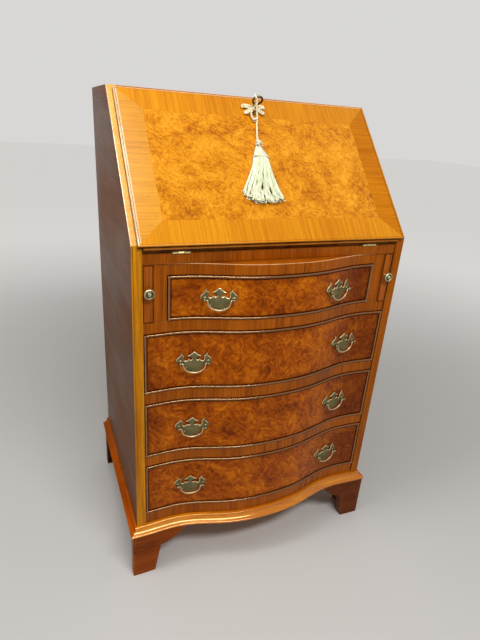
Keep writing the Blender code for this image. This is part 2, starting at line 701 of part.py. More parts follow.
def build_key(turn):
    place = fall_frame @ Matrix.Translation((0, keyhole_up, 0))
    key_turn = pivot("key_pivot", place, turn)
    low = LOCK_DEPTH - LOCK_CHAMBER_DEPTH + GAP
    neck = fall_thickness + KEY_REACH + KEY_BOW_SINK
    key = cylinder("key", KEY_SHANK_RADIUS, low, neck, place, 12)
    join(key, box(
        "key_bit", (-KEY_BIT_REACH, -KEY_BIT_THICKNESS / 2, low),
        (0, KEY_BIT_THICKNESS / 2, low + KEY_BIT_LENGTH), place))
    steps = 16
    ring = [
        (KEY_BOW_RADIUS * math.cos(2 * math.pi * step / steps),
         KEY_BOW_RADIUS * math.sin(2 * math.pi * step / steps)) for step in range(steps)]
    join(key, ring_tube("key_bow", ring, KEY_BOW_WIRE, place @ Matrix.Translation((0, 0, bow_off)) @ FORWARD))
    hang(finish(key, BRONZE), key_turn)
    low = fall_thickness + ESCUTCHEON_THICKNESS + 2 * GAP
    half = [(CORD_BOW_SPAN * x, CORD_BOW_HEIGHT * y) for x, y in CORD_BOW_SHARES]
    below = -KEY_SHANK_RADIUS - GAP
    points = [(x, y + below) for x, y in half] + [(-x, y + below) for x, y in reversed(half[1:-1])]
    bow = outline("cord_bow", points, low, low + CORD_BOW_THICKNESS, place)
    hang(finish(bow, SILK), key_turn)
    return key_turn


def ring_tube(name, points, radius, frame):
    """A closed ring of round rod in a frame's X and Y."""
    curve = bpy.data.curves.new(name, "CURVE")
    curve.dimensions = "3D"
    curve.bevel_depth = radius
    curve.bevel_resolution = 2
    spline = curve.splines.new("POLY")
    spline.points.add(len(points) - 1)
    for spline_point, (x, y) in zip(spline.points, points):
        spline_point.co = (x, y, 0, 1)
    spline.use_cyclic_u = True
    return from_curve(name, curve, frame)


def smooth_route(points, spacing):
    """Reads points at an even spacing from a smooth curve through a route."""
    ends = [2 * points[0] - points[1], *points, 2 * points[-1] - points[-2]]
    fine = []
    parts = 12
    for before, start, end, after in zip(ends, ends[1:], ends[2:], ends[3:]):
        for part in range(parts):
            t = part / parts
            fine.append(0.5 * (
                2 * start + (end - before) * t + (2 * before - 5 * start + 4 * end - after) * t ** 2
                + (3 * start - before - 3 * end + after) * t ** 3))
    fine.append(points[-1])
    length = sum((b - a).length for a, b in zip(fine, fine[1:]))
    count = max(2, round(length / spacing))
    step = length / count
    route = [fine[0]]
    run = 0.0
    for a, b in zip(fine, fine[1:]):
        run += (b - a).length
        if run >= step * len(route) and len(route) < count:
            route.append(b)
    return route + [fine[-1]]


def build_tassel(key_turn):
    """The cord through the key's bow and the tassel on it, which lies on the fall."""
    place = fall_frame @ Matrix.Translation((0, keyhole_up, bow_off))
    swing = pivot("tassel_pivot", place @ Matrix.Translation(Vector(CORD_HOLD) * MM), key_turn)
    route = smooth_route([Vector(point) * MM for point in CORD_ROUTE], CORD_SPACING)
    cord = tube("key_tassel_cord", route, CORD_DIAMETER / 2, place)
    hang(finish(cord, SILK), swing)
    left = []
    right = []
    for along, middle, half in TASSEL_SHARES:
        y = -TASSEL_DROP + GAP * 2 - TASSEL_LENGTH * along
        x = TASSEL_X + TASSEL_WIDTH * middle
        left.append((x - TASSEL_WIDTH * half, y))
        right.append((x + TASSEL_WIDTH * half, y))
    low = fall_thickness + GAP - bow_off
    tassel = outline("key_tassel", right + left[::-1], low, low + TASSEL_THICKNESS, place)
    hang(finish(tassel, SILK), swing)


# Drawers

def pull_frame(x, z):
    """A frame on the curved front: X along it, Y into the drawer, clear of the bowed face."""
    nudge = PLATE_WIDTH / 8
    lean = math.atan2(serpentine(x - nudge) - serpentine(x + nudge), 2 * nudge)
    centre = Vector((x, front_y - serpentine(x), z))
    along = Vector((math.cos(lean), math.sin(lean), 0))
    outward = Vector((math.sin(lean), -math.cos(lean), 0))
    samples = [x + PLATE_WIDTH / 2 * share / 4 for share in range(-4, 5)]
    stand = max((Vector((s, front_y - serpentine(s), z)) - centre).dot(outward) for s in samples)
    return Matrix.Translation(centre + outward * (stand + GAP)) @ Matrix.Rotation(lean, 4, "Z")


def build_pull(prefix, side_name, x, z, slide):
    """A batwing plate with its two posts, and the bail that hangs in them."""
    frame = pull_frame(x, z)
    half = [(PLATE_WIDTH * out, PLATE_HEIGHT * up) for out, up in PLATE_SHARES]
    points = half + [(-out, up) for out, up in reversed(half[1:-1])]
    plate = outline("%s_%s_plate" % (prefix, side_name), points, 0, PLATE_THICKNESS, frame @ FRONT_VIEW)
    axis = frame @ Matrix.Translation((0, -PLATE_THICKNESS - POST_REACH, -POST_DROP))
    for side in (-1, 1):
        post = axis @ Matrix.Translation((side * POST_SPACING / 2, 0, 0))
        join(plate, cylinder("post", POST_RADIUS, -POST_REACH - PLATE_THICKNESS / 2, 0, post @ FORWARD, 8))
        ball = bmesh.new()
        bmesh.ops.create_uvsphere(ball, u_segments=8, v_segments=6, radius=POST_BALL_RADIUS)
        join(plate, from_shape("ball", ball, post))
        near, far = sorted((0, -side * (POST_BALL_RADIUS + OVERRUN)))
        cut(plate, cylinder("eye", BAIL_RADIUS + BAIL_SLACK, near, far, post @ ALONG_X, 8))
    hang(finish(plate, BRASS), slide)
    neck = [(POST_SPACING / 2 * out - BAIL_SLACK, -BAIL_DROP * down) for out, down in BAIL_SHARES]
    wide, high = neck[-1]
    arc = []
    for step in range(1, BAIL_STEPS):
        angle = math.pi * step / BAIL_STEPS
        arc.append((wide * math.cos(angle), high - (BAIL_DROP + high) * math.sin(angle)))
    route = neck + arc + [(-out, down) for out, down in reversed(neck)]
    name = "%s_%s_bail" % (prefix, side_name)
    bail = tube(name, [(out, 0, down) for out, down in route], BAIL_RADIUS, axis)
    hang(finish(bail, BRASS), slide)


def build_drawer(prefix, half, low, high, pull_inset):
    """One drawer: its bent front in a cock bead, its box and its two pulls."""
    slide = pivot(prefix + "_slide", Matrix.Translation((0, front_y, (low + high) / 2)))
    outer = half - DRAWER_SLACK
    bead_low = low + DRAWER_SLACK
    bead_high = high - DRAWER_SLACK
    bead = strip(prefix + "_cock_bead", -outer, outer, -BEAD_PROUD, FRONT_THICKNESS, bead_low, bead_high)
    inside = outer - BEAD_THICKNESS
    window_low = bead_low + BEAD_THICKNESS
    window_high = bead_high - BEAD_THICKNESS
    cut(bead, box(
        prefix + "_bead_window", (-inside, front_y - reach, window_low), (inside, back_y, window_high)))
    hang(finish(bead, DARK_WALNUT), slide)
    face_half = inside - GAP
    face = strip(
        prefix + "_front", -face_half, face_half, 0, FRONT_THICKNESS, window_low + GAP, window_high - GAP)
    hang(finish(face, BURR), slide)
    hang(drawer_box(prefix + "_box", outer, low, high), slide)
    middle = (low + high) / 2
    for side, side_name in ((-1, "left"), (1, "right")):
        build_pull(prefix, side_name, side * (half - pull_inset), middle, slide)


def drawer_box(name, outer, low, high):
    """The bottom, bent to the front, with the sides and the back joined to it."""
    inner = outer - DRAWER_SIDE_THICKNESS
    side_low = low + GAP
    floor = side_low + DRAWER_BOTTOM_LIFT
    floor_top = floor + DRAWER_BOTTOM_THICKNESS
    side_front = front_y - min(serpentine(outer), serpentine(inner)) + FRONT_THICKNESS + GAP
    side_back = inner_back_y - DRAWER_BACK_SPACE
    groove = inner + DRAWER_SIDE_THICKNESS / 2
    tray = outline(
        name, front_line(-groove, groove, FRONT_THICKNESS + GAP) + [
            (groove, side_back - OVERLAP), (-groove, side_back - OVERLAP)], floor, floor_top)
    for near, far in ((-outer, -inner), (inner, outer)):
        join(tray, box("drawer_side", (near, side_front, side_low), (far, side_back, high - DRAWER_SIDE_DROP)))
    back_front = side_back - DRAWER_BACK_INSET - DRAWER_SIDE_THICKNESS
    join(tray, box(
        "drawer_back", (-groove, back_front, floor + OVERLAP),
        (groove, side_back - DRAWER_BACK_INSET, high - DRAWER_BACK_DROP)))
    return finish(tray, DRAWER_LINING)


def build_drawers():
    for place, (low, high) in enumerate(openings):
        top = place == len(openings) - 1
        half = stile_inner if top else inner_half
        pull_inset = PULL_INSET_SHORT if top else PULL_INSET_LONG
        build_drawer("drawer_%d" % (len(openings) - place), half, low, high, pull_inset)


# Writing space

def build_pigeonholes():
    """A fitted unit of open compartments, two wide ones below and four narrow ones above."""
    front = front_y + (top_under - SLOPE_FOOT) / math.tan(slope) + PIGEONHOLE_SETBACK
    low = writing_z + GAP
    high = top_under - GAP
    unit = box("pigeonhole_unit", (-fit_half, front, low), (fit_half, inner_back_y, high))
    rows = (
        (PIGEONHOLES_BELOW, low + PIGEONHOLE_WALL, low + PIGEONHOLE_SHELF),
        (PIGEONHOLES_ABOVE, low + PIGEONHOLE_SHELF + PIGEONHOLE_WALL, high - PIGEONHOLE_WALL),
    )
    for count, row_low, row_high in rows:
        pitch = (2 * fit_half - PIGEONHOLE_WALL) / count
        for place in range(count):
            left = -fit_half + PIGEONHOLE_WALL + pitch * place
            cut(unit, box(
                "compartment", (left, front - OVERRUN, row_low),
                (left + pitch - PIGEONHOLE_WALL, inner_back_y - PIGEONHOLE_WALL, row_high)))
    finish(unit, WALNUT)


build_sides()
build_top()
build_back()
build_shelves()
build_loper_housing()
build_base()
build_feet()
build_lopers()
fall_turn = build_fall()
build_tassel(build_key(fall_turn))
build_drawers()
build_pigeonholes()
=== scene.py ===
"""The finished looks of a walnut writing bureau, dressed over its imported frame.

Metres throughout, and millimetres in the listed profiles of mouldings, feet, brasses and turned pieces,
and in the lists for the cord, the bow and the tassel. +Z is up, the front faces -Y, and the origin is on
the floor under the bureau's middle.
"""

import random
from math import atan2, copysign, cos, exp, pi, radians, sin, sqrt

import bmesh
import bpy
from mathutils import Matrix, Vector


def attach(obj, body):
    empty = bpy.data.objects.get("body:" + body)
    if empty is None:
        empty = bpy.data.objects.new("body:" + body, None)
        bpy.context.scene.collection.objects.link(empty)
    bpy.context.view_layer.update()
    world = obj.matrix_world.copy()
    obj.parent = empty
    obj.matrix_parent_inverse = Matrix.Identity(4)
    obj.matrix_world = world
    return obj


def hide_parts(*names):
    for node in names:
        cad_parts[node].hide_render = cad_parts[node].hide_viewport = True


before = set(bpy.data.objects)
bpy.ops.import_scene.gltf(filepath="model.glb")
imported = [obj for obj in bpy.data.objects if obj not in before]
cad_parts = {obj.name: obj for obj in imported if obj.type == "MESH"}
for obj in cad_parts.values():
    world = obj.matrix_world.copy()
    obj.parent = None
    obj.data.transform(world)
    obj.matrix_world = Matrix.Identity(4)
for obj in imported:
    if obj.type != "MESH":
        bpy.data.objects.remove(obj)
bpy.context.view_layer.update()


# The studio: a pale floor that runs back to a pale background, a soft strip lamp above the camera, a wide
# dim lamp overhead and a small one at the left. The camera stands where the photograph was taken from.

def tone(red, green, blue):
    """A colour as a screen shows it, 0 to 255, in the linear values that a shader takes."""
    shares = [level / 255 for level in (red, green, blue)]
    return (*[share / 12.92 if share < 0.04 else ((share + 0.055) / 1.055) ** 2.4 for share in shares], 1)


def feed(made, inputs):
    """Gives each named input of a node a value or a link."""
    for socket, value in inputs.items():
        if isinstance(value, bpy.types.NodeSocket):
            made.id_data.links.new(value, made.inputs[socket])
        else:
            made.inputs[socket].default_value = value


def node(kind, inputs, tree=None, **settings):
    """Adds a shader node beside what is linked to it, or in a tree, and returns its outputs."""
    if tree is None:
        tree = next(value.id_data for value in inputs.values() if isinstance(value, bpy.types.NodeSocket))
    made = tree.nodes.new("ShaderNode" + kind)
    for option, value in settings.items():
        setattr(made, option, value)
    feed(made, inputs)
    return made.outputs


def math_of(operation, first, second=0.0):
    return node("Math", {0: first, 1: second}, operation=operation)[0]


def ranged(value, low, high, new_low=0.0, new_high=1.0, smooth=True):
    """A value brought from one range into another, and kept inside it."""
    return node("MapRange", {
        "Value": value, "From Min": low, "From Max": high, "To Min": new_low, "To Max": new_high},
        interpolation_type="SMOOTHSTEP" if smooth else "LINEAR")["Result"]


def in_view(tree):
    """1 where a ray comes from the camera, also by way of metal or glass."""
    rays = node("LightPath", {}, tree)
    mirrored = math_of("MAXIMUM", rays["Is Glossy Ray"], rays["Is Transmission Ray"])
    return math_of("MAXIMUM", rays["Is Camera Ray"], mirrored)


def finish_of(name, **shader_values):
    """A new material, its Principled shader with plain values set, and the place on its piece."""
    material = bpy.data.materials.new(name)
    material.use_nodes = True
    shader = material.node_tree.nodes["Principled BSDF"]
    for socket, value in shader_values.items():
        shader.inputs[socket.replace("_", " ").title().replace("Ior", "IOR")].default_value = value
    return material, shader, node("TexCoord", {}, material.node_tree)["Object"]


def show(obj):
    bpy.context.scene.collection.objects.link(obj)
    return obj


lens = bpy.data.cameras.new("photograph_view")
lens.sensor_fit = "VERTICAL"
lens.sensor_height = 36
lens.lens = 26.5
camera = show(bpy.data.objects.new("photograph_view", lens))
camera.matrix_world = (
    Matrix.Translation((-0.4220, -0.9532, 0.9493)) @ Matrix.Rotation(-0.4214, 4, "Z")
    @ Matrix.Rotation(pi / 2 - 0.4000, 4, "X") @ Matrix.Rotation(0.0726, 4, "Z"))
bpy.context.scene.camera = camera
bpy.context.scene.view_settings.view_transform = "Standard"

for lamp_name, place, target, width, height, power in (
        ("front_lamp", (0.02, -1.50, 2.10), (0, -0.1, 0.6), 1.2, 0.3, 25),
        ("top_lamp", (-0.42, -0.52, 2.5), (-0.1, -0.1, 0.6), 1.1, 1.1, 6),
        ("side_lamp", (-1.10, -0.20, 1.90), (0, -0.1, 0.7), 0.5, 0.5, 10)):
    light = bpy.data.lights.new(lamp_name, "AREA")
    light.shape = "ELLIPSE"
    light.size = width
    light.size_y = height
    light.energy = power
    lamp = show(bpy.data.objects.new(lamp_name, light))
    lamp.location = place
    lamp.rotation_euler = (Vector(target) - Vector(place)).to_track_quat("-Z", "Y").to_euler()

world = bpy.data.worlds.new("studio")
bpy.context.scene.world = world
world.use_nodes = True
sky_tree = world.node_tree
sky_tree.nodes.clear()
ambient = node("Background", {"Color": tone(255, 250, 244), "Strength": 0.26}, sky_tree)[0]
backdrop = node("Background", {"Color": tone(216, 215, 213), "Strength": 1}, sky_tree)[0]
node("OutputWorld", {"Surface": node("MixShader", {0: in_view(sky_tree), 1: ambient, 2: backdrop})[0]})

floor_shape = bmesh.new()
bmesh.ops.create_grid(floor_shape, size=14)
floor_mesh = bpy.data.meshes.new("studio_floor")
floor_shape.to_mesh(floor_mesh)
floor_shape.free()
floor_finish, floor_shader, floor_place = finish_of(
    "studio_floor", base_color=tone(214, 213, 210), roughness=0.8, emission_color=tone(216, 215, 213))
fade = ranged(node("VectorMath", {0: floor_place}, operation="LENGTH")["Value"], 0.5, 3.2, 0.0, 0.62)
feed(floor_shader, {"Emission Strength": math_of("MULTIPLY", fade, in_view(floor_finish.node_tree))})
floor_mesh.materials.append(floor_finish)
show(bpy.data.objects.new("studio_floor", floor_mesh))


# The key's cord: two plies of cream silk laid into a cord 4.2 mm thick. Its short end is seized to the
# long one, it passes through the ring of the key's bow, and it hangs down the fall to the tassel.

def group(name, results, colours="", numbers="", vectors=""):
    """A new shader node group with named sockets: its tree, its given values and its result."""
    tree = bpy.data.node_groups.new(name, "ShaderNodeTree")
    for kind, labels in (("Vector", "Coordinates " + vectors), ("Color", colours), ("Float", numbers)):
        for label in labels.split():
            tree.interface.new_socket(label, in_out="INPUT", socket_type="NodeSocket" + kind)
    for label in results.split():
        kind = "Color" if label == "Colour" else "Float"
        tree.interface.new_socket(label, in_out="OUTPUT", socket_type="NodeSocket" + kind)
    return tree, tree.nodes.new("NodeGroupInput").outputs, tree.nodes.new("NodeGroupOutput")


def vector_of(operation, first, second):
    socket = "Scale" if operation == "SCALE" else 1
    return node("VectorMath", {0: first, socket: second}, operation=operation)[0]


def noise(place, scale, detail, **more):
    """Soft noise, drawn out along one of the coordinates where its scale is three numbers."""
    if isinstance(scale, tuple):
        place, scale = vector_of("MULTIPLY", place, scale), 1
    return node("TexNoise", {"Vector": place, "Scale": scale, "Detail": detail, **more})["Fac"]


def summed(*parts):
    """Values added up, each times a weight of its own."""
    total = None
    for value, weight in parts:
        weighed = math_of("MULTIPLY", value, weight)
        total = weighed if total is None else math_of("ADD", total, weighed)
    return total


def blended(share, first, second, mode="MIX"):
    """Two colours mixed by a share."""
    return node("Mix", {0: share, 6: first, 7: second}, data_type="RGBA", blend_type=mode)[2]


def raised(height, strength, distance):
    return node("Bump", {"Height": height, "Strength": strength, "Distance": distance})[0]


def spun_silk():
    """Silk thread: fine plies that cross the thread aslant, and dye that has faded unevenly."""
    tree, given, result = group("spun silk", "Colour Height", "Light Shade", "Ply")
    place = given["Coordinates"]
    slant = node("VectorRotate", {"Vector": place, "Axis": (0, -0.75, 0.66), "Angle": 0.9})[0]
    plies = node("TexWave", {
        "Vector": slant, "Scale": math_of("DIVIDE", 0.5, given["Ply"]), "Distortion": 1.2, "Detail": 1.0,
        "Detail Scale": 2.0}, wave_type="BANDS", bands_direction="X")["Fac"]
    faded = ranged(noise(place, (260, 60, 60), 4), 0.38, 0.66)
    depth = summed((faded, 0.6), (plies, 0.4))
    feed(result, {"Colour": blended(depth, given["Shade"], given["Light"]), "Height": plies})
    return tree


def silk_finish(name, light, shade, ply):
    """Silk in two colours, its plies so far apart."""
    material, shader, place = finish_of(
        name, roughness=0.62, specular_ior_level=0.35, sheen_weight=0.35, sheen_roughness=0.4)
    silk = node("Group", {
        "Coordinates": place, "Light": tone(*light), "Shade": tone(*shade),
        "Ply": ply}, node_tree=SILK)
    feed(shader, {"Base Color": silk["Colour"], "Normal": raised(silk["Height"], 0.6, 0.0004)})
    return material


def threads(routes, radius, sides=2):
    """Round threads, each along a list of points with the share of the radius there, in one shape."""
    curve = bpy.data.curves.new("threads", "CURVE")
    curve.dimensions = "3D"
    curve.bevel_depth = radius
    curve.bevel_resolution = sides
    curve.use_fill_caps = True
    for route in routes:
        spline = curve.splines.new("POLY")
        spline.points.add(len(route) - 1)
        for spline_point, (point, share) in zip(spline.points, route):
            spline_point.co = (*point, 1)
            spline_point.radius = share
    guide = show(bpy.data.objects.new("threads", curve))
    bpy.context.view_layer.update()
    mesh = bpy.data.meshes.new_from_object(guide.evaluated_get(bpy.context.evaluated_depsgraph_get()))
    bpy.data.objects.remove(guide)
    shape = bmesh.new()
    shape.from_mesh(mesh)
    bpy.data.meshes.remove(mesh)
    bmesh.ops.remove_doubles(shape, verts=shape.verts, dist=0.000002)
    bmesh.ops.recalc_face_normals(shape, faces=shape.faces)
    return shape


def smooth_route(points, spacing, parts=12):
    """Points at an even spacing on a smooth curve through a route that is listed in millimetres."""
    points = [Vector(point) / 1000 for point in points]
    ends = [2 * points[0] - points[1], *points, 2 * points[-1] - points[-2]]
    fine = []
    for before, start, end, after in zip(ends, ends[1:], ends[2:], ends[3:]):
        for t in (part / parts for part in range(parts)):
            fine.append(0.5 * (
                2 * start + (end - before) * t + (2 * before - 5 * start + 4 * end - after) * t ** 2
                + (3 * start - before - 3 * end + after) * t ** 3))
    fine.append(points[-1])
    length = sum((b - a).length for a, b in zip(fine, fine[1:]))
    count = max(2, round(length / spacing))
    route = [fine[0]]
    run = 0.0
    for a, b in zip(fine, fine[1:]):
        run += (b - a).length
        if run >= length / count * len(route) and len(route) < count:
            route.append(b)
    return route + [fine[-1]]


def laid(route, plies, orbit, pitch):
    """The routes of plies twisted round one route."""
    made = [[] for _ in range(plies)]
    run = 0.0
    for place, point in enumerate(route):
        ahead = route[min(place + 1, len(route) - 1)]
        behind = route[max(place - 1, 0)]
        along = (ahead - behind).normalized()
        side = (Vector((1, 0, 0)) - along * along.x).normalized()
        off = along.cross(side)
        run += (point - behind).length
        for ply in range(plies):
            angle = 2 * pi * (run / pitch + ply / plies)
            made[ply].append((point + (side * cos(angle) + off * sin(angle)) * orbit, 1))
    return made


def joined(shapes):
    """One shape made of several."""
    whole = bmesh.new()
    for shape in shapes:
        part = bpy.data.meshes.new("part")
        shape.to_mesh(part)
        shape.free()
        whole.from_mesh(part)
        bpy.data.meshes.remove(part)
    return whole


def mark(shape, slot, test=lambda face: True):
    """Gives the faces that a test picks, or all of them, another of the piece's finishes."""
    shape.normal_update()
    for face in filter(test, shape.faces):
        face.material_index = slot
    return shape


def piece(name, shape, finishes, stands_for, body="carcase", sharp=38):
    """Makes a finished shape an object on its body, in place of the plain solids it stands for."""
    mesh = bpy.data.meshes.new(name)
    shape.to_mesh(mesh)
    shape.free()
    mesh.shade_smooth()
    mesh.set_sharp_from_angle(angle=radians(sharp))
    for finish in finishes:
        mesh.materials.append(finish)
    obj = show(bpy.data.objects.new(name, mesh))
    obj.modifiers.new("even_faces", "WEIGHTED_NORMAL").keep_sharp = True
    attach(obj, body)
    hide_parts(*stands_for)
    return obj


SILK = spun_silk()
SLOPE = atan2(0.246, 0.217)
FALL = Matrix.Translation((0, -0.185407, 0.7328)) @ Matrix.Rotation(SLOPE, 4, "X")
KEYHOLE_UP = 0.300713
RING_OFF = 0.0443
CORD_POINTS = (
    (-6.6, -29, -20.4), (-10.6, -23.5, -18.8), (-12, -17.5, -15), (-9, -12.6, -10.5), (-5.2, -8.6, -5),
    (-3, -4.2, 0.2), (-2.6, 0, 3.5), (-3.6, 3.7, 4.8), (-5.8, 5.3, 7.8), (-8.1, 3.7, 10.8), (-9, 0, 12),
    (-8.1, -3.7, 10.8), (-5.8, -5.3, 7.8), (-5.6, -9.5, 3.8), (-4.9, -15.5, -1.8), (-3.8, -21.5, -7.4),
    (-2.8, -27.5, -12.8), (-2.4, -33, -17.6), (-2.9, -39, -20.6), (-4.4, -48, -21), (-6.4, -58, -21),
    (-8.6, -68, -20.4), (-10.1, -75, -19.2), (-10.5, -80, -17.9))
cord_silk = silk_finish("cord_silk", (255, 253, 224), (238, 222, 172), 0.003)
cord_place = FALL @ Matrix.Translation((0, KEYHOLE_UP, RING_OFF))
cord_route = [cord_place @ point for point in smooth_route(CORD_POINTS, 0.0012)]
cord = piece(
    "silk_cord", threads(laid(cord_route, 2, 0.00106, 0.013), 0.00114), [cord_silk], ["key_tassel_cord"],
    "tassel_body")


# The tassel: a knot, a small wound cone with a plaited collar, and a skirt of some 160 twisted silk
# strands that lie fanned out on the fall, curled at their cut ends, cream but for a shaded layer between.

FACE_OFF = 0.0203
TASSEL = FALL @ Matrix.Translation((-0.0105, KEYHOLE_UP - 0.0814, FACE_OFF))
SKIRT_EDGES = (
    (0, -18.4, 12.2), (0.10, -20.8, 12.6), (0.30, -30.2, 13.6), (0.60, -47.8, 17.8), (0.72, -54.5, 20.2),
    (0.86, -57.8, 24.8), (1, -58.5, 31.5))
GAPS = (
    (0.06, 0.34, 0.12, 0.07), (-0.3, 0.30, 0.08, 0.04), (-0.02, 0.68, 0.05, 0.10), (-0.66, 0.80, 0.05, 0.08),
    (0.42, 0.76, 0.07, 0.06), (-0.36, 0.56, 0.06, 0.05))


def skirt_x(down, across):
    """How far across the skirt a strand lies, at a share of the way down it."""
    for (low, left_low, right_low), (high, left_high, right_high) in zip(SKIRT_EDGES, SKIRT_EDGES[1:]):
        if down <= high:
            share = (down - low) / (high - low)
            left = left_low + (left_high - left_low) * share
            right = right_low + (right_high - right_low) * share
            return ((left + right) / 2 + across * (right - left) / 2) / 1000


def skirt_strand(chance, across, layer):
    """One strand from under the collar, down the fall, parted round the open places, curled at its end."""
    short = 0.40 * max(0, -across - 0.35) ** 1.3 + 0.13 * max(0, across - 0.2) ** 2
    reach = 0.955 - short + chance.uniform(-0.05, 0.03)
    wander = chance.uniform(-0.09, 0.09)
    wave = chance.uniform(0, 6.28)
    kink = chance.uniform(0.015, 0.055)
    lift = chance.uniform(-0.0010, 0.0008)
    steps = 19
    route = []
    for step in range(steps + 1):
        down = reach * step / steps
        spread = across + wander * down + kink * sin(wave + down * 25) * down
        for middle, height, half_height, push in GAPS:
            near = exp(-((down - height) / half_height) ** 2 - ((spread - middle) / 0.11) ** 2)
            spread += copysign(push * near, spread - middle)
        spread = max(-1, min(1, spread))
        crown = sqrt(max(0.0, 1 - 0.85 * spread * spread))
        thick = 0.0108 - 0.0045 * down
        off = 0.0009 + max(0, layer * thick * crown + lift * down)
        route.append((TASSEL @ Vector((skirt_x(down, spread), -0.0385 - 0.0995 * down, off)), 1))
    turn = chance.choice((-1, 1)) * chance.uniform(0.4, 1.3)
    last = route[-1][0]
    for step in range(1, 5):
        angle = turn * step
        curl = Vector((0.0015 * sin(angle), -0.0012 * cos(angle), chance.uniform(0, 0.0004)))
        last = last + FALL.to_3x3() @ curl
        route.append((last, 0.9 - 0.1 * step))
    return route


def angles(per_turn, count):
    """The angles at the start and after each of so many steps, where a turn takes so many."""
    return [2 * pi * step / per_turn for step in range(count + 1)]


chance = random.Random(11)
back_strands, shaded_strands, front_strands = [], [], []
for layer, count, lot in (
        (0.05, 50, back_strands), (0.42, 44, shaded_strands), (0.75, 34, front_strands),
        (1.0, 36, front_strands)):
    for number in range(count):
        across = -1 + 2 * (number + chance.uniform(-0.4, 0.4)) / (count - 1)
        lot.append(skirt_strand(chance, max(-1, min(1, across)), layer * chance.uniform(0.8, 1.0)))
skirt_silk = silk_finish("skirt_silk", (255, 255, 236), (214, 220, 170), 0.004)
skirt_shade = silk_finish("skirt_shaded_silk", (142, 146, 92), (64, 70, 34), 0.005)
skirt = joined([
    threads(front_strands, 0.00105, 1), mark(threads(shaded_strands, 0.0009, 1), 1),
    threads(back_strands, 0.0009, 1)])
piece("tassel_skirt", skirt, [skirt_silk, skirt_shade], ["key_tassel"], "tassel_body", 80)

cap_silk = silk_finish("cap_silk", (255, 252, 236), (222, 220, 184), 0.0018)
CONE = (5.8, 8, 10.8, 13.6, 15)
cone = []
for step, angle in enumerate(angles(14, 280)):
    share = step / 280
    spot = share * (len(CONE) - 1)
    low = min(int(spot), len(CONE) - 2)
    radius = (CONE[low] + (CONE[low + 1] - CONE[low]) * (spot - low)) / 1000
    cone.append((TASSEL @ Vector((
        -0.0012 - 0.0020 * share + radius * cos(angle), -0.0112 - 0.0260 * share,
        0.0008 + radius * 0.34 * (1 + sin(angle)))), 1))
collar = laid([
    TASSEL @ Vector((
        -0.0034 + 0.0164 * cos(angle), -0.0382 - 0.0012 * cos(angle),
        0.0016 + 0.0052 * (1 + sin(angle)))) for angle in angles(32, 32)], 3, 0.0008, 0.0062)
knot = [[
    (TASSEL @ Vector((
        -0.0008 + 0.0060 * cos(angle) * cos(tilt) - 0.0012 * sin(angle),
        -0.0055 + 0.0052 * cos(angle) * sin(tilt) + 0.0012 * cos(angle),
        0.0062 + lift + 0.0036 * sin(angle))), 1)
    for angle in angles(20, 20)] for tilt, lift in ((0.5, 0.0), (-0.6, 0.0016), (1.5, 0.0008))]
frayed = []
for number in range(34):
    angle = chance.uniform(0, 2 * pi)
    start = Vector((0.004 * cos(angle), -0.0078 + chance.uniform(-0.002, 0.0035), 0.005))
    reach = chance.uniform(0.003, 0.007)
    lean = Vector((cos(angle), 0.5 * sin(angle) - 0.2, chance.uniform(-0.1, 0.5)))
    curl = Vector((0, chance.uniform(-0.5, 0.5), 0))
    frayed.append([
        (TASSEL @ (start + reach * (lean * step / 5 + curl * (step / 5) ** 2)), 1 - step / 8)
        for step in range(6)])
cap = joined([
    threads([cone], 0.0008, 1), threads(collar, 0.0007, 1), threads(knot, 0.0018),
    threads(frayed, 0.00042, 1)])
tassel_cap = piece("tassel_cap", cap, [cap_silk], [], "tassel_body", 80)
seized = [
    (cord_place @ Vector((
        -0.0046 + 0.0050 * cos(angle), -0.0300 - 0.0006 * angle / 6.3, -0.0183 + 0.0040 * sin(angle))), 1)
    for angle in angles(16, 80)]
seizing = piece("cord_seizing", threads([seized], 0.0006, 1), [cap_silk], [], "tassel_body", 80)


# The bow round the key's neck: the same silk cord tied in two loops to each side, a fold filling each, flat
# against the lock plate, with the crossing pulled tight.

KEY = FALL @ Matrix.Translation((0, KEYHOLE_UP, 0))
BOW_LOOPS = (
    ((-3, 0.5, 25.4), (-11, 3.6, 25.4), (-20, 5, 24.8), (-26, 3.4, 24.2), (-25.6, 0.2, 24), (-18, -0.6, 24.6),
     (-10, -1.8, 25.2), (-3, -3, 25.6)),
    ((-3, -1.2, 26), (-9, 1, 26.2), (-16, 2.4, 25.6), (-21.5, 2.6, 24.8)),
    ((-3, -4.2, 25.4), (-9, -6.6, 25.4), (-15, -10.6, 25), (-19.5, -13.8, 24.6)),
    ((3, -1.2, 26), (8, 1, 26), (14, 2.4, 25.6), (18.5, 2, 24.8)),
    ((3, -4.2, 25.4), (7, -6, 25.4), (12, -9.4, 25), (15.5, -12.2, 24.6)),
    ((-3, -3, 24.4), (-10, -4.6, 24.6), (-18, -8.4, 24.2), (-23, -12.6, 24), (-21, -15.6, 24),
     (-15.5, -13.4, 24.2), (-9, -8.4, 24.4), (-3, -5.6, 24.6)),
    ((3, 0.5, 25), (9, 3.6, 25.2), (17, 5.2, 24.8), (22, 3.2, 24.2), (21.4, 0, 24), (15, -0.6, 24.6),
     (8, -1.8, 25), (3, -3, 25.4)),
    ((3, -3, 24.4), (9, -4.2, 24.8), (15.5, -7, 24.4), (19, -11.2, 24), (17, -14.2, 24), (12, -12.2, 24.2),
     (7, -8, 24.4), (3, -5.4, 24.6)))
bow_cords = []
for loop in BOW_LOOPS:
    bow_cords += laid([KEY @ point for point in smooth_route(loop, 0.001)], 2, 0.00100, 0.009)
neck_wrap = [
    (KEY @ Vector((0.0040 * cos(angle), 0.0040 * sin(angle), 0.0218 + 0.0008 * angle / 6.3)), 1)
    for angle in angles(18, 45)]
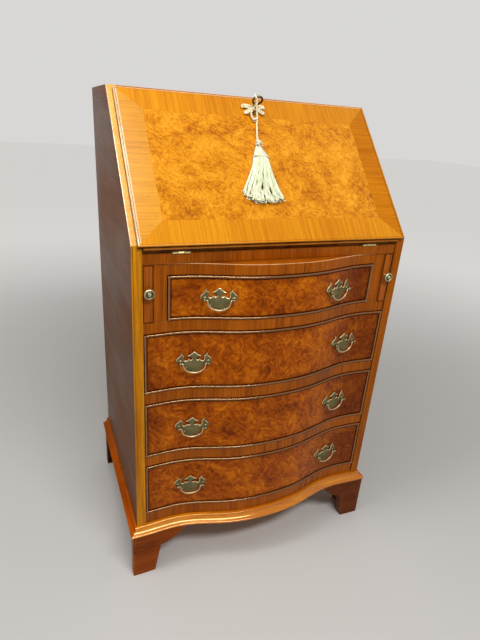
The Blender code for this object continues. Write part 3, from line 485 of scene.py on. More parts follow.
piece(
    "silk_bow", joined([threads(bow_cords, 0.00108, 1), threads([neck_wrap], 0.0009, 1)]), [cord_silk],
    ["cord_bow"], "key_body", 80)


# The two sides: boards 19 mm thick, cut at the slope that the fall closes against, faced with walnut laid
# with its grain from front to back and coloured dark partly as painted shade, lipped with paler wood, and
# rubbed pale along the edges. The slope edges carry painted sheen and a painted highlight, and the right
# front edge painted shade.

def straight_grain():
    """Straight-grained walnut: growth bands, fine streaks and open pores, all drawn out along Z."""
    tree, given, result = group(
        "straight grain", "Colour Height Roughness", "Light Dark", "Figure Pores Dullness")
    place = given["Coordinates"]
    bands = noise(place, (46, 46, 2.2), 3, Distortion=0.7)
    streaks = noise(place, (330, 330, 9), 5, Roughness=0.62)
    clouds = noise(place, (7, 7, 3.5), 2)
    pores = noise(place, (1300, 1300, 70), 2)
    depth = summed(
        (ranged(bands, 0.32, 0.68), given["Figure"]),
        (ranged(streaks, 0.3, 0.7), math_of("SUBTRACT", 1.0, given["Figure"])))
    depth = math_of("ADD", depth, ranged(clouds, 0.3, 0.7, -0.18, 0.18))
    open_pores = math_of("MULTIPLY", ranged(pores, 0.6, 0.72), given["Pores"])
    wood = blended(depth, given["Dark"], given["Light"])
    filled = blended(1.0, wood, (0.35, 0.3, 0.25, 1), "MULTIPLY")
    feed(result, {
        "Colour": blended(open_pores, wood, filled),
        "Height": math_of("SUBTRACT", streaks, open_pores),
        "Roughness": math_of("MULTIPLY", ranged(clouds, 0.3, 0.7, 0.27, 0.42), given["Dullness"])})
    return tree


def rubbed_edges():
    """Where hands and dusters have worn the polish off the outer edges."""
    tree, given, result = group("rubbed edges", "Colour", "Colour", "Amount")
    proud = ranged(node("NewGeometry", {}, tree)["Pointiness"], 0.52, 0.6)
    patchy = ranged(noise(given["Coordinates"], 42, 4), 0.3, 0.6)
    worn = math_of("MULTIPLY", math_of("MULTIPLY", proud, patchy), given["Amount"])
    feed(result, {"Colour": blended(worn, given["Colour"], tone(206, 138, 56))})
    return tree


def wood_finish(
        name, light, dark, figure=0.5, along="Z", shift=(0, 0, 0), pores=0.5, rubbed=0.2, coat=0.15,
        coat_roughness=0.16, coat_ior=1.5, gloss=0.3, ior=1.5, dullness=1.0, tint=(255, 190, 110),
        relief=0.25):
    """Polished straight-grained wood, its grain along an axis or turned from Z, moved to its own place."""
    material, shader, place = finish_of(
        name, coat_weight=coat, coat_roughness=coat_roughness, coat_ior=coat_ior, specular_ior_level=gloss,
        specular_tint=tone(*tint), ior=ior)
    turn = {"X": (0, pi / 2, 0), "Y": (pi / 2, 0, 0), "Z": (0, 0, 0)}.get(along, along)
    place = node("Mapping", {"Vector": place, "Rotation": turn, "Location": shift})[0]
    grain = node("Group", {
        "Coordinates": place, "Light": tone(*light), "Dark": tone(*dark), "Figure": figure, "Pores": pores,
        "Dullness": dullness}, node_tree=GRAIN)
    worn = node("Group", {"Coordinates": place, "Colour": grain["Colour"], "Amount": rubbed}, node_tree=EDGES)
    feed(shader, {
        "Base Color": worn["Colour"], "Roughness": grain["Roughness"],
        "Normal": raised(grain["Height"], relief, 0.0002)})
    return material


def slab(corners, thickness):
    """A board cut to an outline and as thick as a vector."""
    shape = bmesh.new()
    face = shape.faces.new([shape.verts.new(corner) for corner in corners])
    drawn = bmesh.ops.extrude_face_region(shape, geom=[face])["geom"]
    moved = [part for part in drawn if isinstance(part, bmesh.types.BMVert)]
    bmesh.ops.translate(shape, vec=thickness, verts=moved)
    bmesh.ops.recalc_face_normals(shape, faces=shape.faces)
    return shape


def ease(shape, width=0.0009, segments=2, which=lambda edge: True):
    """Rounds the sharp edges of a shape a little, or those of them that a test picks."""
    edges = [
        edge for edge in shape.edges if edge.is_manifold and edge.calc_face_angle(0) > 0.6 and which(edge)]
    bmesh.ops.bevel(
        shape, geom=edges, offset=width, segments=segments, profile=0.5, affect="EDGES", material=-1,
        clamp_overlap=True)
    return shape


def inset(shape, faces, width, depth=0, even=False):
    """Draws a loop of edges inside some faces, which sink or rise by a depth, and returns the rim."""
    return bmesh.ops.inset_region(
        shape, faces=faces, thickness=width, depth=depth, use_even_offset=even)["faces"]


def margined(shape, width=0.002):
    """Runs a loop of edges just inside every wide flat face, so that wear at the edges stays there."""
    shape.normal_update()
    flats = {}
    for face in shape.faces:
        if face.calc_area() > 2 * width * max(edge.calc_length() for edge in face.edges):
            flats.setdefault(tuple(round(part, 2) + 0.0 for part in face.normal), []).append(face)
    for faces in flats.values():
        inset(shape, faces, width, even=True)
    return shape


GRAIN = straight_grain()
EDGES = rubbed_edges()
SIDES = ((-1, "left"), (1, "right"))
HALF, SIDE_THICK = 0.285, 0.019
FRONT, BACK, TOP_FRONT = -0.188, 0.234, 0.029
CARCASE_LOW, CARCASE_TOP = 0.1318, 0.994
# The sides' outer faces: walnut coloured darker than the front, partly as painted shade.
shaded_side_face = wood_finish(
    "side_walnut_painted_shade", (124, 76, 42), (82, 47, 24), 0.4, "Y", (0.3, 1.7, 0.2), coat=0.0, gloss=0.022)
side_edge = wood_finish(
    "side_edge_walnut", (228, 152, 16), (164, 92, 4), 0.35, shift=(1.1, 0.4, 2.0), gloss=0.15)
# A darker copy of the side edge walnut for the right side's front edge, as painted shade.
shaded_right_edge = wood_finish(
    "right_edge_painted_shade", (180, 96, 12), (124, 58, 4), 0.35, shift=(1.6, 0.2, 1.0), coat=0.05, gloss=0.1)
# A pale copy of the edge walnut with a coat: painted sheen on the left slope face and on the right slope
# arris.
slope_sheen = wood_finish(
    "slope_edge_painted_sheen", (254, 190, 96), (224, 148, 52), 0.35, shift=(0.8, 0.6, 1.5), coat=0.5)
# A pale glossy walnut for chosen arrises, a painted highlight: the left slope arris and the top rail's front
# arris.
arris_highlight = wood_finish(
    "arris_painted_highlight", (250, 206, 150), (214, 152, 84), 0.3, coat=1.0, coat_ior=1.9, coat_roughness=0.12)


def down_slope(edge):
    """Whether an edge of a side's outer face runs down the slope."""
    run = edge.verts[0].co - edge.verts[1].co
    return all(abs(vert.co.x) > HALF - 0.001 for vert in edge.verts) and abs(run.y) > 0.1 and abs(run.z) > 0.2


for side, side_name in SIDES:
    face_x = side * HALF
    board = slab([
        (face_x, FRONT, CARCASE_LOW), (face_x, BACK, CARCASE_LOW), (face_x, BACK, CARCASE_TOP),
        (face_x, TOP_FRONT, CARCASE_TOP), (face_x, FRONT, 0.748)], (-side * SIDE_THICK, 0, 0))
    margined(ease(ease(board, 0.0019, 3, down_slope), 0.0011))
    # Slot 1 is the front edge, slot 2 the slope face and slot 3 its outer arris. On the left these take plain
    # edge wood, painted sheen and a painted highlight; on the right, painted shade, plain edge wood and
    # painted sheen.
    mark(board, 1, lambda face: face.normal.y < -0.3 or face.normal.z > 0.5)
    mark(board, 2, lambda face: face.normal.y < -0.3 and face.normal.z > 0.3)
    mark(board, 3, lambda face: side * face.normal.x > 0.2 and face.normal.z > 0.1 and face.normal.y < -0.1)
    edges = [side_edge, slope_sheen, arris_highlight] if side < 0 else [shaded_right_edge, side_edge, slope_sheen]
    piece(side_name + "_side_board", board, [shaded_side_face, *edges], [side_name + "_side"])


# The top and the back: the top is a narrow polished walnut board let in between the sides, its front cut
# to the slope, and the back is a thin panel of plain unpolished deal nailed into a rebate.

INNER = 0.2657
top_finish = wood_finish("top_walnut", (206, 130, 24), (140, 76, 10), along="X", shift=(0.5, 0.1, 0.9))
top = slab([
    (-INNER, TOP_FRONT, CARCASE_TOP), (-INNER, BACK, CARCASE_TOP), (-INNER, BACK, 0.976),
    (-INNER, 0.01313, 0.976)], (2 * INNER, 0, 0))
piece("top_walnut_board", margined(ease(top)), [top_finish], ["top_board"])


def dress(name, finish, arris=0.0006):
    """Gives a plain solid that stays its finish, with its points joined and its edges eased."""
    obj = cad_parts[name]
    obj.material_slots[0].material = finish
    obj.modifiers.new("joined_points", "WELD").merge_threshold = 0.00001
    if arris:
        edge = obj.modifiers.new("eased_edges", "BEVEL")
        edge.width = arris
        edge.segments = 2
        edge.limit_method = "ANGLE"
        edge.angle_limit = radians(40)


deal = wood_finish("deal", (196, 152, 100), (150, 104, 60), shift=(2.2, 0.3, 0.1), pores=0.2, coat=0.0)
dress("back_panel", deal)


# The writing board, whose cross-grained front edge shows under the fall, and the bottom board, whose
# serpentine front edge is the rail under the lowest drawer. Both are housed in the sides.

INNER_BACK = 0.2257
SLICES = 63


def serpentine(x):
    """How far the curved front stands before the sides' front edges at x."""
    share = min(abs(x) / HALF, 1) * pi
    waves = 0.31 + 0.64 * cos(share) + 0.135 * cos(2 * share) - 0.085 * cos(3 * share)
    return 0.029 * waves


def spans(edge):
    """Whether an edge runs along X at all."""
    return abs(edge.verts[0].co.x - edge.verts[1].co.x) > 0.0001


def sliced(shape, cuts):
    """Cuts a shape across into slices along X, so that it can bend."""
    bmesh.ops.subdivide_edges(shape, edges=list(filter(spans, shape.edges)), cuts=cuts, use_grid_fill=True)
    return shape


def block(corner, opposite, cuts=0):
    """A rectangular block between two corners, cut across into slices."""
    shape = bmesh.new()
    bmesh.ops.create_cube(shape, size=1)
    bmesh.ops.scale(shape, vec=[abs(b - a) for a, b in zip(corner, opposite)], verts=shape.verts)
    bmesh.ops.translate(shape, vec=[(a + b) / 2 for a, b in zip(corner, opposite)], verts=shape.verts)
    return sliced(shape, cuts) if cuts else shape


def bend(shape, back=BACK):
    """Bends a straight board to the serpentine front, or only the part of it before a y."""
    for vert in shape.verts:
        if vert.co.y < back:
            vert.co.y -= serpentine(vert.co.x)
    return shape


def fronted(shape):
    """Marks a shape's front as its second finish, with a margin round its flat faces."""
    return mark(margined(ease(shape)), 1, lambda face: face.normal.y < -0.5)


board_finish = wood_finish("writing_walnut", (196, 118, 22), (138, 70, 10), along="X", shift=(0.2, 0.6, 0.4))
rail_finish = wood_finish(
    "rail_crossband", (182, 94, 8), (118, 52, 2), 0.3, shift=(0.4, 0.2, 1.3), coat=0.1, gloss=0.2)
writing = fronted(block((-INNER, -0.1851, 0.7128), (INNER, INNER_BACK, 0.73265)))
piece("writing_walnut_board", writing, [board_finish, rail_finish], ["writing_board"])
bottom = fronted(block((-INNER, FRONT, CARCASE_LOW), (INNER, INNER_BACK, 0.1585), SLICES))
piece("bottom_walnut_board", bend(bottom, 0), [board_finish, rail_finish], ["bottom_board"])


# The rails between the drawers: deal faced with cross-grained walnut and bent to the serpentine, each with
# a runner behind either end. The top one carries the stiles that box the lopers in.

OPENINGS = {
    1: (0.2218, 0.6045, 0.6915), 2: (0.266, 0.4565, 0.5825), 3: (0.266, 0.3075, 0.4335),
    4: (0.266, 0.1585, 0.2845)}
STILE_LOW, STILE_TOP = 0.6048, 0.7125
runner_finish = wood_finish("runner_deal", (178, 128, 76), (128, 84, 44), along="Y", pores=0.2, coat=0.0)


def rail(half, low, high):
    """One bent rail with a cross-grained face."""
    return bend(fronted(block((-half, FRONT, low), (half, -0.128, high), SLICES)), -0.150)


for number in (3, 2, 1):
    half, high = OPENINGS[number][:2]
    low = OPENINGS[number + 1][2]
    runners = [
        ease(block((side * (half - 0.028), -0.129, low), (side * INNER, INNER_BACK, high)), 0.0006)
        for side in (-1, 1)]
    piece(
        "front_rail_%d" % number, joined([rail(INNER, low, high), *runners]), [runner_finish, rail_finish],
        ["drawer_frame_%d" % number])

top_rail = mark(rail(0.2221, OPENINGS[1][2], STILE_TOP), 1, lambda face: face.normal.z > 0.5)
# The top rail's upper front arris takes the painted highlight.
parts = [mark(top_rail, 2, lambda face: face.normal.y < -0.2 and face.normal.z > 0.2)]
for side in (-1, 1):
    stile = block((side * OPENINGS[1][0], FRONT, STILE_LOW), (side * 0.2458, INNER_BACK, STILE_TOP), 3)
    parts.append(bend(fronted(stile), 0))
piece("top_rail_and_stiles", joined(parts), [runner_finish, rail_finish, arris_highlight], ["loper_housing"])


# The base moulding: a frame of walnut under the carcase, moulded with a bead, a hollow and a quarter
# round, bent along the front and mitred at the two front corners, glued and screwed up from below.

def mm(points):
    """Points listed in millimetres, in metres."""
    return [tuple(part / 1000 for part in point) for point in points]


MOULDING = mm((
    (-45, 0), (-45, 18.5), (4.5, 18.5), (5.8, 18.2), (6.7, 17.4), (6.9, 16.3), (6.3, 15.5), (5.7, 15),
    (6.2, 12.8), (7.4, 10.4), (9.6, 7.8), (12.4, 5.8), (14.6, 4.9), (15.9, 4.4), (16.8, 3.6), (17, 2.4),
    (17, 0.4), (16.6, 0)))
LINE_Y = FRONT - serpentine(HALF)
FRAME_X = 0.283


def moulding_run(start, end, outward):
    """A straight run of the moulding from one point to another, its moulded edge facing outward."""
    corners = [Vector(start) + Vector(outward) * out + Vector((0, 0, 0.113 + up)) for out, up in MOULDING]
    return slab(corners, Vector(end) - Vector(start))


def cut(shape, point, across, clear=True):
    """Cuts a shape through at a plane, and takes away what lies beyond it."""
    bmesh.ops.bisect_plane(
        shape, geom=[*shape.verts, *shape.edges, *shape.faces], dist=0.000001, plane_co=point,
        plane_no=across, clear_outer=clear)
    return shape


front_run = bend(sliced(moulding_run((-0.3001, FRONT, 0), (0.3001, FRONT, 0), (0, -1, 0)), 95))
side_runs = []
for side in (-1, 1):
    mitre = (side * FRAME_X, LINE_Y, 0)
    cut(front_run, mitre, (side, 1, 0))
    run = moulding_run((side * FRAME_X, LINE_Y - 0.02, 0), (side * FRAME_X, BACK, 0), (side, 0, 0))
    side_runs.append(mark(cut(run, mitre, (-side, -1, 0)), 1))
back_rail = mark(block((-0.284, 0.1890, 0.1131), (0.284, 0.2339, 0.1314)), 2)
front_moulding = wood_finish(
    "moulding_walnut", (234, 146, 10), (184, 94, 4), along="X", coat=0.2, coat_roughness=0.12, gloss=0.9,
    ior=1.7, dullness=0.4, tint=(255, 206, 140), relief=0.1)
# The side runs take a darker copy of the moulding walnut, as painted shade.
shaded_side_moulding = wood_finish(
    "side_moulding_painted_shade", (202, 92, 4), (132, 50, 0), along="Y", coat=0.0, gloss=0.02)
piece(
    "moulded_base", joined([front_run, *side_runs, back_rail]),
    [front_moulding, shaded_side_moulding, runner_finish], ["base_moulding"])


# The feet: bracket feet, each of two boards sawn to a curve and joined at the corner under the moulding.
# The front boards are bent with the serpentine, all are darker than the carcase, and the right front foot,
# the front flanks and the back feet are coloured darker still as painted shade.

BRACKET = mm((
    (0, 0), (49, 0), (52.5, 18), (56.5, 40), (60.5, 62), (62, 71), (70, 72.2), (78.5, 75),
    (87, 79.7), (95, 85.8), (103, 93), (111, 102), (119, 112.7), (0, 112.7)))
BRACKET_THICK = 0.018
foot_finish = wood_finish(
    "foot_walnut", (160, 74, 14), (108, 44, 6), 0.4, "X", (0.7, 0.9, 0.2), coat=0.02, gloss=0.1)
# A darker copy of the foot walnut for the right front foot, as painted shade.
shaded_right_foot = wood_finish(
    "right_foot_painted_shade", (118, 52, 12), (76, 30, 6), 0.4, "X", (1.2, 0.3, 0.7), coat=0.02, gloss=0.1)
# A darker copy of the foot walnut for the front feet's flanks, as painted shade.
shaded_foot_side = wood_finish(
    "foot_side_painted_shade", (116, 58, 22), (64, 30, 10), 0.5, "Y", (0.2, 0.5, 0.2), coat=0.02, gloss=0.1)
# The back feet are coloured nearly black as painted shade.
shaded_back_foot = wood_finish(
    "back_foot_painted_shade", (66, 31, 12), (34, 14, 4), 0.5, "X", (0.4, 0.8, 0.5), coat=0.0, gloss=0.05)
for side, side_name in SIDES:
    outer = side * 0.2975
    front, back = (
        slab([(outer - side * along, y, up) for along, up in BRACKET], (0, BRACKET_THICK, 0))
        for y in (-0.2025, 0.193))
    front_flank, back_flank = (
        ease(slab([
            (side * FRAME_X, y + way * along, up) for along, up in BRACKET], (-side * BRACKET_THICK, 0, 0)))
        for y, way in ((LINE_Y + 0.003, 1), (0.1935, -1)))
    for step in range(1, 15):
        cut(front, (outer - side * step * 0.008, 0, 0), (1, 0, 0), False)
    piece(
        "front_%s_bracket_foot" % side_name, joined([bend(ease(front)), mark(front_flank, 1)]),
        [foot_finish if side < 0 else shaded_right_foot, shaded_foot_side], ["front_%s_foot" % side_name])
    piece(
        "back_%s_bracket_foot" % side_name, joined([ease(back), back_flank]), [shaded_back_foot],
        ["back_%s_foot" % side_name])


# The lopers: two walnut bars that slide out under the open fall, each with a turned brass knob screwed
# into its front end, a ring round a small boss.

def brass_patina():
    """Old brass: dull and green-brown in the field, with specks, and bright where it is rubbed."""
    tree, given, result = group("brass patina", "Colour Roughness Height", "Dull Bright", "Rubbed")
    place = given["Coordinates"]
    blotches = noise(place, 120, 5, Distortion=0.6)
    specks = noise(place, 900, 2)
    proud = ranged(node("NewGeometry", {}, tree)["Pointiness"], 0.5, 0.6)
    bare = math_of("MULTIPLY", proud, given["Rubbed"])
    bare = math_of("ADD", bare, ranged(blotches, 0.5, 0.78, 0.0, 0.2))
    aged = blended(0.35, given["Dull"], tone(66, 92, 62))
    colour = blended(ranged(noise(place, 70, 3), 0.42, 0.6), given["Dull"], aged)
    colour = blended(bare, colour, given["Bright"])
    feed(result, {
        "Colour": blended(ranged(specks, 0.62, 0.74, 0.0, 0.5), colour, tone(48, 46, 30)),
        "Roughness": ranged(bare, 0.0, 1.0, 0.46, 0.24),
        "Height": math_of("SUBTRACT", blotches, specks)})
    return tree


def metal_finish(name, dull, bright, rubbed):
    """Old metal, bare and bright where it is rubbed."""
    material, shader, place = finish_of(name, metallic=1.0)
    metal = node("Group", {
        "Coordinates": place, "Dull": tone(*dull), "Bright": tone(*bright),
        "Rubbed": rubbed}, node_tree=PATINA)
    feed(shader, {
        "Base Color": metal["Colour"], "Roughness": metal["Roughness"],
        "Normal": raised(metal["Height"], 0.2, 0.0002)})
    return material


def placed(shape, place):
    bmesh.ops.transform(shape, matrix=place, verts=shape.verts)
    return shape


def turned(profile, place, steps=28):
    """A shape turned on a lathe: its radii and heights in millimetres, placed with its axis along Z."""
    shape = bmesh.new()
    verts = [shape.verts.new((radius, 0, up)) for radius, up in mm(profile)]
    edges = [shape.edges.new(pair) for pair in zip(verts, verts[1:])]
    bmesh.ops.spin(
        shape, geom=verts + edges, cent=(0, 0, 0), axis=(0, 0, 1), angle=2 * pi, steps=steps, use_merge=True)
    bmesh.ops.remove_doubles(shape, verts=shape.verts, dist=0.00002)
    bmesh.ops.recalc_face_normals(shape, faces=shape.faces)
    return placed(shape, place)


PATINA = brass_patina()
FORWARD = Matrix.Rotation(pi / 2, 4, "X")
LOPER_X, LOPER_HALF, LOPER_FRONT = 0.2559, 0.0096, -0.1855
KNOB_UP = 0.66315
KNOB = (
    (0, 0), (6, 0), (6, 1.2), (4.8, 2.4), (4.5, 4.2), (5.8, 5.8), (8.8, 7.2), (9.9, 8.8), (9.8, 10.6),
    (8.8, 12), (7.4, 12.3), (6.4, 11.2), (5.5, 10.7), (4.6, 11.2), (4, 12.8), (2.8, 14.3), (1.2, 14.9),
    (0, 15))
knob_brass = metal_finish("knob_brass", (128, 118, 84), (236, 222, 180), 0.6)
loper_finish = wood_finish("loper_walnut", (188, 98, 12), (128, 56, 4), 0.35, shift=(0.9, 0.3, 0.6), coat=0.2)
# A dark copy of the loper walnut for the small faces round the bar's front: painted shade in the gap.
loper_edge_shade = wood_finish(
    "loper_edge_painted_shade", (104, 46, 6), (66, 24, 0), 0.35, shift=(0.9, 0.3, 0.6), coat=0.0, gloss=0.1)
for side, side_name in SIDES:
    slide = side_name + "_loper_slide"
    middle = side * LOPER_X
    bar = block((middle - LOPER_HALF, LOPER_FRONT, STILE_LOW), (middle + LOPER_HALF, 0.1445, STILE_TOP))
    margined(ease(bar, 0.0010), 0.0012)
    # The small faces round the bar's front take the dark outline of painted shade.
    mark(bar, 1, lambda face: face.normal.y < -0.2 and face.calc_area() < 0.001)
    piece(side_name + "_loper_bar", bar, [loper_finish, loper_edge_shade], [side_name + "_loper"], body=slide)
    knob = turned(KNOB, Matrix.Translation((middle, LOPER_FRONT - 0.0003, KNOB_UP)) @ FORWARD)
    piece(side_name + "_turned_knob", knob, [knob_brass], [side_name + "_loper_knob"], slide, 50)


# The fall: a pine board faced with burr walnut in a mitred border of crossbanding, its solid walnut lip
# rounded and rebated over the sides, with a leather skiver let into the writing face.

def burr_figure():
    """Burr walnut: curls and clouds of warm and dark wood round clusters of small eyes."""
    tree, given, result = group(
        "burr figure", "Colour Height Roughness", "Light Middle Dark", "Scale Swirl Eyes")
    place = vector_of("SCALE", given["Coordinates"], given["Scale"])
    drift = node("TexNoise", {"Vector": place, "Scale": 13, "Detail": 3})["Color"]
    drift = vector_of("SCALE", vector_of("SUBTRACT", drift, (0.5, 0.5, 0.5)), given["Swirl"])
    curled = vector_of("ADD", place, drift)
    clouds = noise(curled, 22, 3, Roughness=0.5, Distortion=0.9)
    mottle = noise(curled, 85, 5, Roughness=0.6, Distortion=2.2)
    lines = node("TexWave", {
        "Vector": curled, "Scale": 34, "Distortion": 16, "Detail": 3, "Detail Scale": 1.4},
        wave_type="BANDS", bands_direction="DIAGONAL")["Fac"]
    cells = node("TexVoronoi", {"Vector": curled, "Scale": 150, "Randomness": 1.0}, feature="F1")["Distance"]
    patches = noise(place, 21, 2)
    eyes = math_of("MULTIPLY", ranged(cells, 0.34, 0.1), ranged(patches, 0.5, 0.66))
    eyes = math_of("MULTIPLY", eyes, given["Eyes"])
    depth = summed(
        (ranged(clouds, 0.22, 0.78, smooth=False), 0.46),
        (ranged(mottle, 0.25, 0.75, smooth=False), 0.4), (lines, 0.14))
    colour = blended(ranged(depth, 0.2, 0.5, smooth=False), given["Dark"], given["Middle"])
    colour = blended(ranged(depth, 0.5, 0.8, smooth=False), colour, given["Light"])
    feed(result, {
        "Colour": blended(eyes, colour, given["Dark"]), "Height": math_of("SUBTRACT", mottle, eyes),
        "Roughness": ranged(clouds, 0.3, 0.7, 0.24, 0.38)})
    return tree


def wax_and_painted_shade():
    """Darker towards a panel's edges, partly old wax and partly painted shade, and darker still towards its
    right end as painted shade.
    """
    tree, given, result = group("wax and painted shade", "Colour", "Colour", vectors="Middle Half")
    off = vector_of("SUBTRACT", given["Coordinates"], given["Middle"])
    parts = node("SeparateXYZ", {0: vector_of("DIVIDE", off, given["Half"])})
    ends = ranged(math_of("ABSOLUTE", parts["X"]), 0.8, 1.02, 0.0, 0.6)
    edges = ranged(math_of("ABSOLUTE", parts["Z"]), 0.6, 1.05, 0.0, 0.6)
    # The right-hand end is darkened as painted shade.
    right = ranged(parts["X"], 0.25, 0.95, 0.0, 0.92)
    depth = math_of("MAXIMUM", math_of("MAXIMUM", ends, edges), right)
    dark = blended(1.0, given["Colour"], (0.4, 0.3, 0.22, 1), "MULTIPLY")
    feed(result, {"Colour": blended(depth, given["Colour"], dark)})
    return tree


def burr_finish(
        name, light, middle, dark, scale=1.0, swirl=0.03, eyes=0.25, turn=(0, 0, 0), shift=(0, 0, 0),
        coat=0.3, wax_and_shade_panel=None):
    """Polished burr veneer, its figure moved to a place of its own, darker at a panel's edges and right end
    as wax and painted shade.
    """
    material, shader, place = finish_of(
        name, coat_weight=coat, coat_roughness=0.14, specular_ior_level=0.14,
        specular_tint=tone(255, 190, 110))
    figure = node("Group", {
        "Coordinates": node("Mapping", {"Vector": place, "Rotation": turn, "Location": shift})[0],
        "Light": tone(*light), "Middle": tone(*middle), "Dark": tone(*dark), "Scale": scale, "Swirl": swirl,
        "Eyes": eyes}, node_tree=BURR)
    colour = figure["Colour"]
    if wax_and_shade_panel:
        panel_middle, panel_half = wax_and_shade_panel
        colour = node("Group", {
            "Coordinates": place, "Colour": colour, "Middle": panel_middle, "Half": panel_half},
            node_tree=WAX_AND_SHADE)["Colour"]
    feed(shader, {
        "Base Color": colour, "Roughness": figure["Roughness"],
        "Normal": raised(figure["Height"], 0.12, 0.0003)})
    return material


def biggest(shape, direction):
    """The largest face that looks in a direction."""
    shape.normal_update()
    faces = [face for face in shape.faces if face.normal.dot(Vector(direction)) > 0.95]
    return max(faces, key=lambda face: face.calc_area())


BURR = burr_figure()
WAX_AND_SHADE = wax_and_painted_shade()
BODY_UP, LIP_LOW, LIP_UP, LIP_HALF = 0.31271, 0.003493, 0.328715, 0.2745
ACROSS_FALL = (pi / 2 - SLOPE, 0, 0)
LEATHER_WELL = ((0.0442, 0), (0.0002, -0.0015))
PANEL_LINES = ((0.0004, 0), (0.0006, -0.0009), (0.0006, 0.0009), (0.0034, 0), (0.0592, 0))
fall_burr = burr_finish("fall_burr", (242, 166, 40), (210, 132, 8), (154, 74, 0), turn=(-SLOPE, 0, 0))
fall_side_band = wood_finish(
    "fall_side_crossband", (230, 158, 26), (198, 126, 12), 0.3, "X", (0.3, 0.8, 0), coat=0.7, coat_ior=1.6,
    gloss=0.2)
# The left and right bands are lit and shaded copies of one crossbanding: the right band's darker colour is
# painted shade.
shaded_right_band = wood_finish(
    "fall_right_crossband_painted_shade", (204, 124, 10), (170, 92, 2), 0.3, "X", (0.6, 0.1, 0), coat=0.05, gloss=0.15)
# A pale glossy walnut painted on the lip as a highlight.
lip_highlight = wood_finish(
    "lip_painted_highlight", (252, 214, 160), (214, 158, 92), 0.3, (-SLOPE, 0, 0), coat=1.0, coat_ior=1.9,
    coat_roughness=0.12)
fall_end_band = wood_finish(
    "fall_end_crossband", (222, 146, 12), (192, 112, 2), 0.25, ACROSS_FALL, coat=0.25, gloss=0.2)
fall_wood = wood_finish("fall_solid_walnut", (176, 100, 20), (120, 60, 10), along="X")
# A dark walnut for the fall's lower edge, undersides and left end face, as painted shade.
fall_shaded_edge = wood_finish("fall_edge_painted_shade", (74, 30, 6), (40, 14, 2), along="X", coat=0.0, gloss=0.1)
body = ease(block((-0.2652, 0, 0.00015), (0.2652, BODY_UP, 0.0125)), 0.0008)
well = biggest(body, (0, 0, -1))
for width, depth in LEATHER_WELL:
    inset(body, [well], width, depth)
# The body's lower edge faces take the painted shade.
mark(mark(body, 3), 4, lambda face: face.normal.y < -0.5)
lip = block((-LIP_HALF, LIP_LOW, 0.0123), (LIP_HALF, LIP_UP, 0.020))
ease(lip, 0.0028, 5, lambda edge: all(vert.co.z > 0.0199 for vert in edge.verts))
panel = biggest(lip, (0, 0, 1))
for width, depth in PANEL_LINES:
    inset(lip, [panel], width, depth)


def in_side_band(face):
    """Whether a face of the lip lies nearer its left or right end than its top or bottom."""
    centre = face.calc_center_median()
    return LIP_HALF - abs(centre.x) < min(centre.y - LIP_LOW, LIP_UP - centre.y)


mark(lip, 1, lambda face: face != panel and in_side_band(face))
mark(lip, 2, lambda face: face != panel and not in_side_band(face))
# The right side band takes the darker copy, as painted shade.
mark(lip, 5, lambda face: in_side_band(face) and face.calc_center_median().x > 0)
# Slot 6 paints the highlight on the lip: its left 8 mm, its rounded top edge and its rounded right edge.
mark(lip, 6, lambda face: (
    in_side_band(face) and face.normal.x > -0.9 and face.calc_center_median().x < -LIP_HALF + 0.0080))
mark(lip, 6, lambda face: face.normal.y > 0.15 and face.normal.z > 0.2)
mark(lip, 6, lambda face: face.normal.x > 0.15 and 0.2 < face.normal.z < 0.8)
# The lip's underside, lower face and left end face take the painted shade too.
mark(lip, 4, lambda face: face.normal.y < -0.92 or face.normal.z < -0.5 or face.normal.x < -0.9)
piece("veneered_fall", placed(joined([body, lip]), FALL), [
    fall_burr, fall_side_band, fall_end_band, fall_wood, fall_shaded_edge, shaded_right_band, lip_highlight],
    ["fall_board"], "fall")

leather, leather_shader, leather_place = finish_of("green_skiver", roughness=0.48)
pebbles = node("TexVoronoi", {"Vector": leather_place, "Scale": 900}, feature="F1")["Distance"]
hide = blended(ranged(noise(leather_place, 9, 5), 0.45, 0.75), tone(34, 66, 44), tone(86, 112, 74))
feed(leather_shader, {
    "Base Color": blended(ranged(pebbles, 0.2, 0.7, 0, 0.4), hide, tone(16, 34, 22)),
    "Normal": raised(pebbles, 0.3, 0.0003)})
dress("fall_leather", leather, 0)


# The brass and the lock: butt hinges let into the fall and the writing board, a fall lock with its plate
# flush in the inner face, an oval escutcheon, and a steel key with a ring bow; the escutcheon and the key
# are coloured dark, partly as painted shade under the bow.

hinge_brass = metal_finish("hinge_brass", (150, 126, 70), (250, 226, 160), 0.8)
for node_name in (
        "board_hinge_left", "board_hinge_right", "fall_hinge_left", "fall_hinge_right", "fall_lock"):
    dress(node_name, hinge_brass, 0.0003)
# The escutcheon's brass is coloured dark, partly as painted shade under the key.
dress("key_escutcheon", metal_finish("escutcheon_brass_and_shade", (70, 56, 28), (170, 136, 76), 0.8), 0.0004)

# Dark steel, darkened further as painted shade under the bow.
key_steel_and_shade = metal_finish("key_steel_and_shade", (40, 28, 14), (226, 196, 150), 0.25)
shank = turned((
    (0, 4.3), (2.2, 4.3), (2.6, 4.7), (2.6, 27.2), (3.4, 27.7), (3.4, 28.7), (2.8, 29.2), (2.8, 30),
    (3.8, 30.6), (3.8, 32), (2.6, 32.8), (2, 33.6), (0, 33.8)), KEY, 20)
bit = placed(ease(block((-0.0075, -0.001, 0.0043), (0, 0.001, 0.0083)), 0.0003), KEY)
ring = bmesh.new()
bmesh.ops.create_circle(ring, segments=12, radius=0.0018)
bmesh.ops.scale(ring, vec=(1.15, 1.3, 1.0), verts=ring.verts)
bmesh.ops.translate(ring, vec=(0.0097, 0, 0), verts=ring.verts)
bmesh.ops.spin(
    ring, geom=[*ring.verts, *ring.edges], cent=(0, 0, 0), axis=(0, 1, 0), angle=2 * pi, steps=40,
    use_merge=True)
bmesh.ops.recalc_face_normals(ring, faces=ring.faces)
